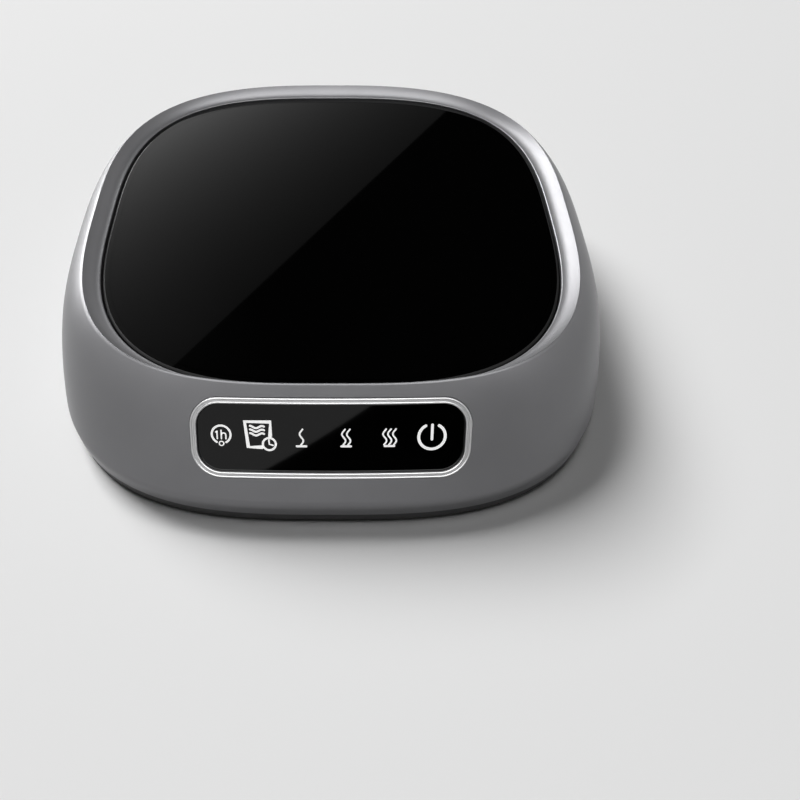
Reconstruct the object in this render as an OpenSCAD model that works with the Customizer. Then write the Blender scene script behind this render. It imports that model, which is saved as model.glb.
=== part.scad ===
// Electric mug warmer: a low lofted housing with a dished rim and a sloped touch panel, round a
// sprung glass heating plate that closes a microswitch when a mug stands on it.
// Origin: centre of the footprint, on the table. X to the right, -Y to the panel, Z up.

/* [Body] */
// Width of the housing at its widest line
body_w = 126; // [124:0.5:132]
// Depth of the housing at its widest line
body_d = 122.8; // [121.2:0.2:127]
// Height of the rim above the table
body_h = 29; // [28.5:0.25:32]
// Height of the housing's widest line above the table
crease_z = 7.3; // [6.7:0.1:8]
// Height of the housing's lower edge above the table
skirt_z = 3.5; // [3.3:0.1:4.1]
// How far the lower edge is drawn in under the widest line
skirt_in = 0.1; // [0:0.05:0.5]
// Wall of the housing, measured level
wall = 2; // [1.8:0.1:2.2]
// Squareness of the footprint's front: 2 is an ellipse, more is squarer
foot_square = 3; // [2.85:0.05:3.15]
// Squareness of the footprint's back
foot_back_square = 2.3; // [2.25:0.05:2.6]
// How far in front of the middle the footprint is widest
foot_ahead = 5.5; // [0:0.5:8]
// Squareness of the rim's front
rim_square = 3.2; // [3.05:0.05:3.35]
// Squareness of the rim's back
rim_back_square = 2.8; // [2.7:0.05:3.1]
// How far behind the middle the rim is widest
rim_behind = 7.9; // [6.5:0.1:9]
// Bulge of the side and back walls: 1 is straight, more is rounder
side_bulge = 2; // [1.8:0.05:2.3]
// How far the front slope leans back from the widest line to the rim
fascia_run = 15.1; // [14.6:0.1:15.6]
// How far the back wall leans in from the widest line to the rim
back_lean = 1.9; // [1.5:0.1:2.6]

/* [Plate and rim] */
// Width of the glass heating plate
plate_w = 104; // [101:0.5:105]
// Thickness of the glass
plate_t = 3; // [2.6:0.1:3.2]
// Squareness of the glass plate
plate_square = 3; // [2.9:0.05:3.1]
// Ground chamfer on the edge of the glass
plate_edge = 0.4; // [0.2:0.1:0.6]
// Running gap round the glass
plate_gap = 0.45; // [0.35:0.05:0.6]
// Travel of the plate when a mug stands on it
plate_travel = 1.2; // [0.8:0.1:1.4]
// Drop from the rim to the glass
rim_rise = 2.55; // [2:0.05:3]
// Level width of the dished band at the sides
band_side = 3.45; // [2.9:0.05:3.8]
// Level width of the dished band at the front
band_front = 0.9; // [0.7:0.05:1.1]
// Level width of the dished band at the back
band_back = 2.5; // [2.1:0.1:2.8]
// How steeply the dish starts below the rim: 1 is a flat cone, more is more hollow
band_hollow = 1.7; // [1.2:0.1:2.4]

/* [Control panel] */
// Drop from the rim to the panel's centre
panel_drop = 9.5; // [9.1:0.1:9.9]
// Width of the trim ring
ring_w = 56.5; // [54:0.5:58]
// Height of the trim ring, along the slope
ring_h = 17.25; // [16.5:0.25:17.75]
// Corner radius of the trim ring
ring_r = 7.4; // [6.5:0.1:8]
// Width of the ring's face
ring_face = 1.3; // [1.1:0.1:1.5]
// How far the ring stands out of the slope
ring_proud = 0.45; // [0.2:0.05:0.6]
// Thickness of the lens
lens_t = 1.2; // [1:0.1:1.3]
// Places of the six signs, left to right, as shares of half the lens's width
sign_share = [-0.822, -0.55, -0.217, 0.116, 0.441, 0.763];
// Diameter of a touch spring
touch_d = 4.4; // [3.6:0.2:4.8]

/* [Plate carrier] */
// Wall of the carrier tray
tray_wall = 1.8; // [1.4:0.1:2.2]
// Overhang of the glass beyond the tray
tray_inset = 3; // [2.6:0.1:3.4]
// Floor of the carrier tray
tray_floor = 1.6; // [1.4:0.1:2]
// Thickness of the heat spreader
spreader_t = 1.5; // [1:0.1:2]
// Thickness of the heating element
element_t = 0.4; // [0.3:0.05:0.6]
// Thickness of the mica sheet
mica_t = 0.3; // [0.2:0.05:0.5]
// Thickness of the insulation pad
pad_t = 2.6; // [2.2:0.1:3]
// Radius of the circle on which the three guide posts stand
guide_circle = 34; // [32:0.5:35]
// Diameter of a guide post
post_d = 5; // [4.4:0.1:5.4]
// Running clearance of a guide post in its socket, on the radius
guide_play = 0.08; // [0.04:0.01:0.1]
// Outside diameter of a guide socket
socket_d = 8; // [7.6:0.1:8.2]
// Wire of the return springs
spring_wire = 0.8; // [0.6:0.05:0.9]
// Coils of a return spring
spring_turns = 6; // [5:1:7]

/* [Base] */
// Height of the base above the table, on its feet
foot_h = 0.6; // [0.6:0.1:1]
// Floor of the base cover
floor_t = 2; // [1.8:0.1:2.2]
// Diameter of a rubber foot
foot_d = 12; // [10:0.5:13]
// Distance of the feet from the middle, to the side
foot_x = 30; // [28:0.5:32]
// Least margin between a foot and the edge of the base
foot_margin = 1.5; // [1:0.1:2]
// Diameter of the base screws
screw_d = 3; // [2.6:0.1:3.2]
// Width of a cooling slot
vent_w = 1.8; // [1.4:0.1:2.2]
// Number of cooling slots in a row
vent_count = 11; // [7:1:12]

/* [Electronics] */
// Width of the main board
board_w = 44; // [40:0.5:45]
// Depth of the main board
board_d = 42; // [40:0.5:43]
// Thickness of both circuit boards
board_t = 1.6; // [1.2:0.1:1.6]
// Height of the board standoffs
standoff_h = 2.4; // [2:0.1:2.6]
// Height of the microswitch's body
switch_h = 6.5; // [6:0.1:6.6]
// Radius of the bore for the cord in the gland
gland_bore_r = 3.2; // [2.8:0.1:3.4]

/* [Hidden] */
$fn = 48;

loft_steps = 84;
wall_steps = 8;
slack = 0.01;
play = 0.2;
bore_play = 0.05;

// Levels
plate_top = body_h - rim_rise;
plate_low = plate_top - plate_t;
glue_t = 0.4;
lip_h = 0.3;
lip_edge = 0.15;
lip_z = plate_top + lip_h;
stop_drop = 0.6;
stop_z = plate_low - stop_drop;
stop_w = 1.2;
flange_t = 1.4;
flange_low = stop_z - flange_t;
roof_z = stop_z + 1.2;
spreader_low = plate_low - spreader_t;
element_low = spreader_low - element_t;
mica_low = element_low - mica_t;
tray_top = mica_low - pad_t;
tray_low = tray_top - tray_floor;
floor_top = foot_h + floor_t;

// Outlines: [half width, front y, back y, front squareness, back squareness, y where widest]
rim_front = -body_d / 2 + fascia_run;
rim_back = body_d / 2 - back_lean;
plate_front = rim_front + band_front + plate_gap;
plate_back = rim_back - band_back - plate_gap;
plate_y = (plate_front + plate_back) / 2;
plate_line = [plate_w / 2, plate_front, plate_back, plate_square, plate_square, plate_y];
foot_line = [body_w / 2, -body_d / 2, body_d / 2, foot_square, foot_back_square, -foot_ahead];
rim_line = [
    plate_w / 2 + plate_gap + band_side, rim_front, rim_back, rim_square, rim_back_square, rim_behind
];

function mix(a, b, k) = a + (b - a) * k;
function signed_pow(v, e) = sign(v) * pow(abs(v), e);

// A point of a squircle outline at a parameter angle
function outline_point(o, t) =
    let (e = 2 / (sin(t) < 0 ? o[3] : o[4]), c = signed_pow(cos(t), e), s = signed_pow(sin(t), e))
    [o[0] * c, o[5] + (s < 0 ? o[5] - o[1] : o[2] - o[5]) * s];
function outline(o) = [for (i = [0 : loft_steps - 1]) outline_point(o, 360 * i / loft_steps)];

// The same outline grown outwards by d
function grow(o, d) = o + d * [1, -1, 1, 0, 0, 0];

// The outline's y at a given x, on its front or back half
function outline_y(o, x, back) =
    let (n = back ? o[4] : o[3], k = pow(1 - pow(abs(x) / o[0], n), 1 / n))
    mix(o[5], back ? o[2] : o[1], k);

// The housing's outer surface: the front is a straight slope, the other walls bulge
function rise(z) = max(0, z - crease_z) / (body_h - crease_z);
function bulge(u) = 1 - pow(1 - pow(u, side_bulge), 1 / side_bulge);
function body_line(z) =
    let (u = min(1, rise(z)), g = bulge(u), share = [g, u, g, u, u, u])
    [for (i = [0 : 5]) mix(foot_line[i], rim_line[i], share[i])];

// The control panel's own frame: x to the right, y up the slope, z outwards
panel_z = body_h - panel_drop;
face_angle = atan2(body_h - crease_z, fascia_run);
panel_y = outline_y(body_line(panel_z), 0, false);
face_line = body_line(panel_z);
face_sag = (face_line[1] - outline_y(face_line, ring_w / 2, false)) * -sin(face_angle);
face_r = (pow(ring_w / 2, 2) + pow(face_sag, 2)) / (2 * face_sag);
lens_w = ring_w - 2 * ring_face;
lens_h = ring_h - 2 * ring_face;
lens_r = ring_r - ring_face;
lens_play = 0.1;
lens_sink = 0.2;
pocket_depth = lens_t + lens_sink;
pad_depth = pocket_depth + 1.2;
pad_margin = 6;
pad_skin = 0.8;
ledge = 0.9;
box_depth = 5.2;
box_top = lens_h / 2 - 3.2;
box_lip = lens_h / 2 - ledge - play;
box_low = -box_lip;
box_r = lens_r - ledge - play;
touch_w = ring_w + 9.5;
touch_top = box_top;
touch_h = 12.5;
touch_screw_x = ring_w / 2 + 2.4;
touch_screw_y = -3.5;
sign_x = [for (s = sign_share) s * lens_w / 2];

// Guides, springs and switch
guide_angles = [270, 30, 150];
guide_spots = [
    for (a = guide_angles) [guide_circle * cos(a), plate_y + guide_circle * sin(a)]
];
post_top = tray_low - plate_travel - 0.6;
socket_low = mix(floor_top, tray_low, 0.563);
seat_h = 1;
seat_w = 3;
spring_r = socket_d / 2 + spring_wire / 2 + 0.35;
coil_rest = 0.12;

// Screws
spigot_gap = 0.25;
thread = 0.6;
well_d = screw_d + 5.4;
boss_d = screw_d + 3;
head_d = screw_d + 2.4;
head_h = 1.8;
boss_low = floor_top + 2.8;
boss_top = flange_low - plate_travel - 0.7;
boss_high = grow(body_line(boss_top), -wall - 1);
boss_base = grow(foot_line, -skirt_in - wall - spigot_gap - well_d / 2);
boss_line = [
    min(boss_high[0], boss_base[0]), max(boss_high[1], boss_base[1]),
    min(boss_high[2], boss_base[2]), foot_square, foot_back_square, (boss_high[5] + boss_base[5]) / 2
];
boss_angles = [24, 156, 225, 315];
boss_spots = [for (t = boss_angles) outline_point(boss_line, t)];

// ---- Shared shapes ----

// A flat slab with a squircle outline
module slab(o, low, high) {
    translate([0, 0, low])
        linear_extrude(high - low)
            polygon(outline(o));
}

// A ring between two squircle outlines
module band(outer, inner, low, high) {
    difference() {
        slab(outer, low, high);
        slab(inner, low - 1, high + 1);
    }
}

// A closed loop of outlines skinned into one ring-shaped solid
module ring_loft(stations) {
    n = loft_steps;
    m = len(stations);
    points = [for (s = stations) each [for (p = outline(s[0])) [p[0], p[1], s[1]]]];
    faces = [
        for (j = [0 : m - 1], i = [0 : n - 1])
            let (k = (i + 1) % n, up = (j + 1) % m)
            each [
                [j * n + i, up * n + k, j * n + k],
                [j * n + i, up * n + i, up * n + k]
            ]
    ];
    polyhedron(points, faces, convexity = 6);
}

module rod(r, low, high) {
    translate([0, 0, low])
        cylinder(h = high - low, r = r);
}

module brick(w, d, low, high) {
    translate([-w / 2, -d / 2, low])
        cube([w, d, high - low]);
}

module rounded_rect(w, h, r) {
    square([w - 2 * r, h], center = true);
    square([w, h - 2 * r], center = true);
    for (x = [-1, 1], y = [-1, 1])
        translate([x * (w / 2 - r), y * (h / 2 - r)])
            circle(r = r);
}

// Places children in the control panel's frame
module panel_frame() {
    translate([0, panel_y, panel_z])
        rotate([face_angle, 0, 0])
            children();
}

// Cuts a flat outline out of a sheet that follows the slope's curve
module on_face(inner, outer) {
    reach = 14;
    intersection() {
        translate([0, 0, -reach])
            linear_extrude(2 * reach)
                children();
        translate([0, 0, -face_r])
            rotate([90, 0, 0])
                difference() {
                    cylinder(h = 3 * ring_h, r = face_r + outer, center = true, $fn = 720);
                    cylinder(h = 4 * ring_h, r = face_r + inner, center = true, $fn = 720);
                }
    }
}

// Depth of the curved face below the panel's flat middle
function face_drop(x) = face_r - sqrt(face_r * face_r - x * x);

// Skins a row of rings, each with the same number of points, into a closed rod
module skin(rings) {
    n = len(rings[0]);
    m = len(rings);
    faces = [
        for (j = [0 : m - 2], i = [0 : n - 1])
            let (k = (i + 1) % n)
            each [[j * n + i, j * n + n + k, j * n + k], [j * n + i, j * n + n + i, j * n + n + k]]
    ];
    start = [for (i = [0 : n - 1]) i];
    end = [for (i = [n - 1 : -1 : 0]) (m - 1) * n + i];
    polyhedron([for (r = rings) each r], concat(faces, [start, end]), convexity = 10);
}

// A compression spring with closed ends, from its lowest to its highest point
module coil(r, wire, low, high, turns, steps, sides) {
    dead = 0.8;
    tight = 1.08 * wire;
    pitch = (high - low - wire - 2 * dead * tight) / (turns - 2 * dead);
    function climb(a) =
        a < dead ? a * tight
        : a > turns - dead ? high - low - wire - (turns - a) * tight
        : dead * tight + (a - dead) * pitch;
    skin([
        for (k = [0 : turns * steps])
            let (a = k / steps, z = low + wire / 2 + climb(a))
            [
                for (b = [0 : sides - 1])
                    let (q = -360 * b / sides, d = r + wire / 2 * cos(q))
                    [d * cos(360 * a), d * sin(360 * a), z + wire / 2 * sin(q)]
            ]
    ]);
}

// Rounds a route by cutting its corners
function cut_corners(p) = [
    p[0],
    for (i = [0 : len(p) - 2]) each [mix(p[i], p[i + 1], 0.25), mix(p[i], p[i + 1], 0.75)],
    p[len(p) - 1]
];
function unit(v) = v / norm(v);

// A round wire along a route; side is a direction that the route never takes
module wire(route, d, side, sides = 8) {
    p = cut_corners(cut_corners(route));
    last = len(p) - 1;
    skin([
        for (i = [0 : last])
            let (
                t = unit(p[min(last, i + 1)] - p[max(0, i - 1)]),
                u = unit(cross(t, side)),
                v = cross(t, u)
            )
            [
                for (b = [0 : sides - 1])
                    let (q = 360 * b / sides)
                    p[i] + d / 2 * (cos(q) * u + sin(q) * v)
            ]
    ]);
}

// A pan-head screw pointing up, its head's underside at zero
module screw(d, head, head_t, length, drive = true) {
    difference() {
        union() {
            rod(head / 2, -head_t, 0);
            rod(d / 2, -slack, length - d / 2);
            translate([0, 0, length - d / 2])
                cylinder(h = d / 2, r1 = d / 2, r2 = d / 5);
        }
        if (drive)
            for (a = [0, 90])
                rotate([0, 0, a])
                    brick(0.65 * head, 0.16 * head, -head_t - 1, -head_t * 0.45);
    }
}

// ---- Housing ----

// Levels of the outer wall, closer together towards the rim
outer_stations = [
    for (k = [0 : wall_steps])
        let (z = mix(crease_z, body_h - 0.2, sin(90 * k / wall_steps)))
        [body_line(k == wall_steps ? body_h : z), z]
];
lip_line = grow(plate_line, plate_gap + lip_edge);
band_stations = [
    for (k = [0.08, 0.2, 0.35, 0.5, 0.68, 0.85, 1])
        let (f = pow((1 - k) / 0.92, band_hollow))
        [mix(rim_line, lip_line, k), mix(lip_z, body_h, f)]
];
well_line = grow(plate_line, plate_gap);
inner_stations = [
    for (k = [0 : 4])
        let (z = mix(roof_z, crease_z, k / 4))
        [grow(body_line(z), -wall), z]
];
housing_stations = concat(
    outer_stations,
    band_stations,
    [
        [well_line, lip_z - lip_edge],
        [well_line, stop_z],
        [grow(well_line, stop_w), stop_z],
        [grow(well_line, stop_w), roof_z - 0.3]
    ],
    inner_stations,
    [
        [grow(foot_line, -wall - skirt_in), skirt_z],
        [grow(foot_line, -skirt_in), skirt_z]
    ]
);

// Space that the plate and its carrier need inside the housing
module plate_space() {
    slab(well_line, stop_z - 1, body_h + 1);
    slab(grow(well_line, stop_w + 0.5), flange_low - plate_travel - 0.5, stop_z);
}

gland_z = 12.7;
gland_face = outline_y(body_line(gland_z), 0, true) - 1.5;
gland_pad_t = 2.3;
gland_flange_r = gland_bore_r + 3.4;
gland_neck_r = gland_bore_r + 1.2;
gland_flange_t = 1.3;
gland_pad_r = gland_flange_r + 0.8;

// Two webs tie each screw boss to the wall beside it
module boss_ribs() {
    rib_t = 1.4;
    reach = 16;
    intersection() {
        slab(grow(body_line(boss_top), -wall / 2), boss_low + 3, boss_top);
        for (p = boss_spots) {
            translate([p[0] + sign(p[0]) * reach / 2, p[1]])
                brick(reach, rib_t, boss_low, boss_top);
            translate([p[0], p[1] + sign(p[1]) * reach / 2])
                brick(rib_t, reach, boss_low, boss_top);
        }
    }
}

module upper_housing() {
    color("dimgray")
        difference() {
            union() {
                ring_loft(housing_stations);
                difference() {
                    union() {
                        panel_frame()
                            on_face(-pad_depth, -pad_skin)
                                rounded_rect(ring_w + 2 * pad_margin, ring_h + 3, ring_r);
                        panel_frame()
                            for (x = [-1, 1])
                                translate([x * touch_screw_x, touch_screw_y])
                                    rod(2.3, -box_depth, -face_drop(touch_screw_x) - pad_skin);
                        for (p = boss_spots)
                            translate(p)
                                rod(boss_d / 2, boss_low, boss_top);
                        boss_ribs();
                    }
                    plate_space();
                }
                translate([0, gland_face - gland_pad_t / 2])
                    brick(18, gland_pad_t, gland_z - gland_pad_r, gland_z + gland_pad_r);
            }
            panel_frame() {
                on_face(-pocket_depth, 4)
                    rounded_rect(ring_w + play, ring_h + play, ring_r + play / 2);
                on_face(-box_depth - 1, 4)
                    rounded_rect(lens_w - 2 * ledge, lens_h - 2 * ledge, lens_r - ledge);
                for (x = [-1, 1])
                    translate([x * touch_screw_x, touch_screw_y])
                        rod(0.8, -box_depth - 1, -face_drop(touch_screw_x) - 1.6);
            }
            for (p = boss_spots)
                translate(p)
                    rod((screw_d - thread) / 2 + bore_play, boss_low - 1, boss_top - 2.4);
            translate([0, gland_face, gland_z])
                rotate([-90, 0, 0]) {
                    rod(gland_neck_r + 0.1, -gland_pad_t - 1, 1);
                    rod(gland_flange_r + 0.4, 0, 6);
                }
        }
}

// ---- Control panel ----

groove_w = 0.3;

module panel_trim_ring() {
    color("silver")
        panel_frame()
            difference() {
                on_face(-pocket_depth, ring_proud)
                    difference() {
                        rounded_rect(ring_w, ring_h, ring_r);
                        rounded_rect(lens_w, lens_h, lens_r);
                    }
                on_face(ring_proud - 0.35, ring_proud + 2)
                    difference() {
                        rounded_rect(ring_w - 1.2, ring_h - 1.2, ring_r - 0.6);
                        rounded_rect(
                            ring_w - 1.2 - 2 * groove_w, ring_h - 1.2 - 2 * groove_w,
                            ring_r - 0.6 - groove_w
                        );
                    }
            }
}

module panel_lens() {
    color("black")
        panel_frame()
            on_face(-pocket_depth, -lens_sink)
                rounded_rect(lens_w - 2 * lens_play, lens_h - 2 * lens_play, lens_r - lens_play);
}

// The light box's dividing walls stand halfway between signs
cell_wall = 1;
box_w = lens_w - 2 * ledge - 2 * play;
wall_x = [for (i = [0 : len(sign_x) - 2]) (sign_x[i] + sign_x[i + 1]) / 2];
box_clear = 0.1;
box_flange_t = pad_depth + 0.3 - pocket_depth - box_clear;

// Everything that lies deeper than a given depth below the curved face
module below_face(depth) {
    translate([0, 0, -face_r])
        rotate([90, 0, 0])
            cylinder(h = 4 * ring_h, r = face_r - depth, center = true, $fn = 720);
}

// Six open cells, with a flange above them that fills the pad's window
module light_box() {
    cell_h = box_top - box_low - 2 * cell_wall;
    color("white")
        panel_frame()
            difference() {
                intersection() {
                    translate([0, 0, -box_depth])
                        linear_extrude(box_depth)
                            rounded_rect(box_w, 2 * box_lip, box_r);
                    below_face(pocket_depth + box_clear);
                }
                intersection() {
                    translate([0, box_top + ring_h])
                        brick(2 * ring_w, 2 * ring_h, -2 * box_depth, 0);
                    below_face(pocket_depth + box_clear + box_flange_t);
                }
                translate([0, 0, -box_depth - 1])
                    linear_extrude(box_depth + 4)
                        difference() {
                            translate([0, (box_top + box_low) / 2])
                                rounded_rect(box_w - 2 * cell_wall, cell_h, box_r - cell_wall);
                            for (x = wall_x)
                                translate([x, 0])
                                    square([cell_wall, 4 * cell_h], center = true);
                        }
            }
}

module touch_board() {
    color("darkgreen")
        panel_frame()
            difference() {
                translate([0, touch_top - touch_h / 2])
                    brick(touch_w, touch_h, -box_depth - board_t, -box_depth);
                for (x = [-1, 1])
                    translate([x * touch_screw_x, touch_screw_y])
                        rod(1.2, -box_depth - board_t - 1, 0);
            }
}

led_y = box_top - cell_wall - 1;

module panel_leds() {
    color("lightyellow")
        panel_frame()
            for (x = sign_x)
                translate([x, led_y])
                    brick(1.6, 0.8, -box_depth, -box_depth + 0.7);
}

module touch_springs() {
    color("gold")
        panel_frame()
            for (x = sign_x)
                translate([x, -0.9])
                    coil(
                        touch_d / 2 - 0.2, 0.4, -box_depth + coil_rest,
                        -pocket_depth - face_drop(abs(x) + touch_d / 2) - coil_rest, 3, 10, 5
                    );
}

module touch_board_screws() {
    color("silver")
        panel_frame()
            for (x = [-1, 1])
                translate([x * touch_screw_x, touch_screw_y, -box_depth - board_t])
                    screw(1.5, 3, 0.9, board_t + 1.1);
}

// ---- Plate stack ----

tray_line = grow(plate_line, -tray_inset);
tray_inner = grow(tray_line, -tray_wall);

module glass_plate() {
    color("black")
        union() {
            slab(grow(plate_line, -plate_edge), plate_low, plate_top);
            slab(plate_line, plate_low, plate_top - plate_edge);
        }
}

module glass_adhesive() {
    color("darkred")
        band(grow(tray_line, -0.2), grow(tray_inner, 0.2), plate_low - glue_t, plate_low);
}

module heat_spreader() {
    color("silver")
        slab(grow(tray_inner, -0.4), spreader_low, plate_low);
}

sensor_hole_r = 4;
track_w = 2.4;
track_gap = 3;
track_count = 5;
track_pitch = track_w + track_gap;
tab_x = 2.8;

// One ring track of the element, open towards its two tabs
module track(r) {
    difference() {
        circle(r = r + track_w / 2);
        circle(r = r - track_w / 2);
        translate([-1.6, -r - track_w])
            square([3.2, 2 * track_w + 2]);
    }
}

module heating_element() {
    color("goldenrod")
        translate([0, plate_y, element_low])
            linear_extrude(element_t) {
                for (i = [0 : track_count - 1])
                    track(12 + i * track_pitch);
                for (i = [0 : track_count - 2], x = [-1, 1])
                    if ((i % 2 == 0) == (x > 0))
                        translate([x * tab_x, -12 - (i + 0.5) * track_pitch])
                            square([2.4, track_pitch], center = true);
                for (x = [-1, 1])
                    translate([x * tab_x, x > 0 ? -8.6 : -15.4 - (track_count - 1) * track_pitch])
                        square([2.4, 5], center = true);
            }
}

module mica_sheet() {
    color("tan")
        difference() {
            slab(grow(tray_inner, -0.4), mica_low, element_low);
            translate([0, plate_y])
                rod(sensor_hole_r, mica_low - 1, element_low + 1);
        }
}

fuse_back = 22;
fuse_spot = [0, plate_y + fuse_back];
fuse_l = 11;
fuse_r = 1.1;
fuse_lead_r = 0.35;
fuse_lead_l = 2;
lead_hole = [18, 6];
lead_front = 17;
lead_spot = [0, plate_y - lead_front];

module insulation_pad() {
    color("whitesmoke")
        difference() {
            slab(grow(tray_inner, -0.4), tray_top, mica_low);
            translate([0, plate_y])
                rod(sensor_hole_r + 1.5, tray_top - 1, mica_low + 1);
            translate(fuse_spot)
                brick(fuse_l + 2 * fuse_lead_l + 1, 2 * fuse_r + 1, tray_top - 1, mica_low + 1);
            translate(lead_spot)
                brick(lead_hole[0], lead_hole[1], tray_top - 1, mica_low + 1);
        }
}

striker_x = 32.5;
striker_front = 20;
striker_w = 3;
striker_d = 5;
striker_spot = [striker_x, plate_y - striker_front];
rib_t = 1.2;
rib_h = 0.8;
rib_hub = 6;

// The stop flange reaches under the housing's skirt at the sides, and stays clear of the panel
flange_line = [
    well_line[0] + stop_w - 0.3, plate_front, well_line[2] + 0.2, plate_square, plate_square, plate_y
];

module plate_carrier() {
    color("dimgray")
        difference() {
            union() {
                band(tray_line, tray_inner, tray_top, plate_low - glue_t);
                slab(tray_line, tray_low, tray_top);
                band(flange_line, tray_inner, flange_low, stop_z);
                for (p = guide_spots)
                    translate(p)
                        rod(socket_d / 2, socket_low, tray_top);
                for (a = [0 : 60 : 300])
                    translate([0, plate_y])
                        rotate([0, 0, a])
                            translate([guide_circle / 2, 0])
                                brick(guide_circle - 2 * rib_hub, rib_t, tray_low - rib_h, tray_top);
                translate(striker_spot)
                    brick(striker_w, striker_d, striker_low, tray_top);
            }
            for (p = guide_spots)
                translate(p)
                    rod(post_d / 2 + guide_play, socket_low - 1, tray_low);
            translate(lead_spot)
                brick(lead_hole[0], lead_hole[1], tray_low - 3, tray_top + 1);
            translate(fuse_spot)
                brick(fuse_l - 2, 2 * fuse_r + 1, tray_low - 3, tray_top + 1);
        }
}

sensor_r = 2.4;

module temperature_sensor() {
    color("saddlebrown")
        translate([0, plate_y])
            rod(sensor_r, spreader_low - 2, spreader_low);
}

// A bent strap that presses the sensor up against the spreader
module sensor_clip() {
    clip_t = 0.3;
    clip_w = 3;
    top = spreader_low - 2;
    arm = sensor_hole_r + 1.2;
    color("silver")
        translate([0, plate_y + clip_w / 2])
            rotate([90, 0, 0])
                linear_extrude(clip_w)
                    polygon([
                        [-arm, tray_top], [-arm + 1.4, tray_top], [-2.2, top - clip_t],
                        [2.2, top - clip_t], [arm - 1.4, tray_top], [arm, tray_top],
                        [arm, tray_top + clip_t], [arm - 1.2, tray_top + clip_t], [2.4, top],
                        [-2.4, top], [-arm + 1.2, tray_top + clip_t], [-arm, tray_top + clip_t]
                    ]);
}

module thermal_fuse() {
    color("white")
        translate([fuse_spot[0], fuse_spot[1], mica_low - fuse_r])
            rotate([0, 90, 0]) {
                rod(fuse_r, -fuse_l / 2, fuse_l / 2);
                rod(fuse_lead_r, -fuse_l / 2 - fuse_lead_l, fuse_l / 2 + fuse_lead_l);
            }
}

module return_springs() {
    color("silver")
        for (p = guide_spots)
            translate(p)
                coil(
                    spring_r, spring_wire, floor_top + seat_h + coil_rest, tray_low - rib_h - coil_rest,
                    spring_turns, 12, 6
                );
}

// ---- Microswitch ----

switch_w = 12.8;
switch_t = 5.8;
hinge_x = -5.2;
hinge_drop = 1;
peg_r = 0.55;
peg_out = 0.6;
peg_play = 0.05;
lever_t = 0.4;
lever_tilt = 7;
lever_reach = 12.6;
lever_arm = 11.5;
lever_lift = 1.4;
lever_gap = 0.42;
lever_side_play = 0.12;
plunger_x = -1.6;
plunger_r = 0.85;
plunger_l = 2;
plunger_out = 0.52;
plunger_play = 0.06;
switch_holes = [-3.25, 3.25];
switch_hole_z = 1.8;
switch_screw_d = 1.9;
bracket_t = 2;
bracket_gap = 0.1;

// The switch and its lever share the room between the floor and the carrier
lever_rise = lever_lift + lever_t + lever_arm * tan(lever_tilt) + lever_gap - hinge_drop;
switch_x = striker_x - lever_arm - hinge_x;
switch_y = striker_spot[1];
switch_low = mix(floor_top, tray_low - switch_h - lever_rise, 0.5087);
switch_top = switch_low + switch_h;
hinge_z = switch_top - hinge_drop;
plunger_top = switch_top + plunger_out;
striker_low = switch_top + lever_rise;

module at_switch() {
    translate([switch_x, switch_y])
        children();
}

// A round bar across the switch, at x and height z
module cross_bar(x, z, r, from, to) {
    translate([x, 0, z])
        rotate([-90, 0, 0])
            rod(r, from, to);
}

module switch_body() {
    hole_r = switch_screw_d / 2 + 2 * bore_play;
    color("black")
        at_switch()
            difference() {
                union() {
                    brick(switch_w, switch_t, switch_low, switch_top);
                    cross_bar(hinge_x, hinge_z, peg_r, -switch_t / 2 - peg_out, switch_t / 2 + peg_out);
                }
                for (x = switch_holes)
                    cross_bar(x, switch_low + switch_hole_z, hole_r, -switch_t, switch_t);
                translate([plunger_x, 0])
                    rod(plunger_r + plunger_play, switch_top - 1.3 * plunger_l, switch_top + 1);
            }
}

module switch_terminals() {
    color("silver")
        at_switch()
            for (x = [-1, 1])
                translate([-switch_w / 2 - 1.4, x * 1.6])
                    brick(2.8, 0.5, switch_low + 2, switch_low + 4);
}

module switch_lever() {
    ear = switch_t / 2 + lever_side_play;
    color("silver")
        at_switch()
            translate([hinge_x, 0, hinge_z])
                difference() {
                    union() {
                        rotate([0, -lever_tilt, 0])
                            translate([-1, -2, lever_lift])
                                cube([lever_reach + 1, 4, lever_t]);
                        for (s = [-1, 1])
                            translate([0, s * (ear + lever_t / 2)]) {
                                brick(2.2, lever_t, 0, lever_lift + lever_t);
                                rotate([90, 0, 0])
                                    rod(1.1, -lever_t / 2, lever_t / 2);
                            }
                        brick(2, 2 * ear + slack, lever_lift, lever_lift + lever_t);
                    }
                    rotate([90, 0, 0])
                        rod(peg_r + peg_play, -switch_t, switch_t);
                }
}

module switch_plunger() {
    color("red")
        at_switch()
            translate([plunger_x, 0])
                rod(plunger_r, switch_top - plunger_l, plunger_top);
}

module switch_screws() {
    color("silver")
        at_switch()
            for (x = switch_holes)
                translate([x, -switch_t / 2, switch_low + switch_hole_z])
                    rotate([-90, 0, 0])
                        screw(switch_screw_d, 3.2, 1, switch_t + 1.6);
}

// ---- Main board and what is on it ----

board_gap = 4.46;
main_y = gland_face - gland_pad_t - gland_flange_t - board_gap - board_d / 2;
main_low = floor_top + standoff_h;
main_top = main_low + board_t;

// Height that the carrier leaves free above the board, at the end of its travel
board_clear = 0.45;
board_room = tray_low - rib_h - plate_travel - board_clear - main_top;
main_holes = [for (x = [-1, 1], y = [-1, 1]) [x * (board_w / 2 - 2.6), main_y + y * (board_d / 2 - 2.6)]];

board_screw_d = 2.2;

module main_board() {
    color("green")
        difference() {
            translate([0, main_y])
                brick(board_w, board_d, main_low, main_top);
            for (p = main_holes)
                translate(p)
                    rod(1.4, main_low - 1, main_top + 1);
        }
}

module board_screws() {
    color("silver")
        for (p = main_holes)
            translate([p[0], p[1], main_top])
                mirror([0, 0, 1])
                    screw(board_screw_d, 4, 1.2, board_t + 1.9);
}

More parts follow.
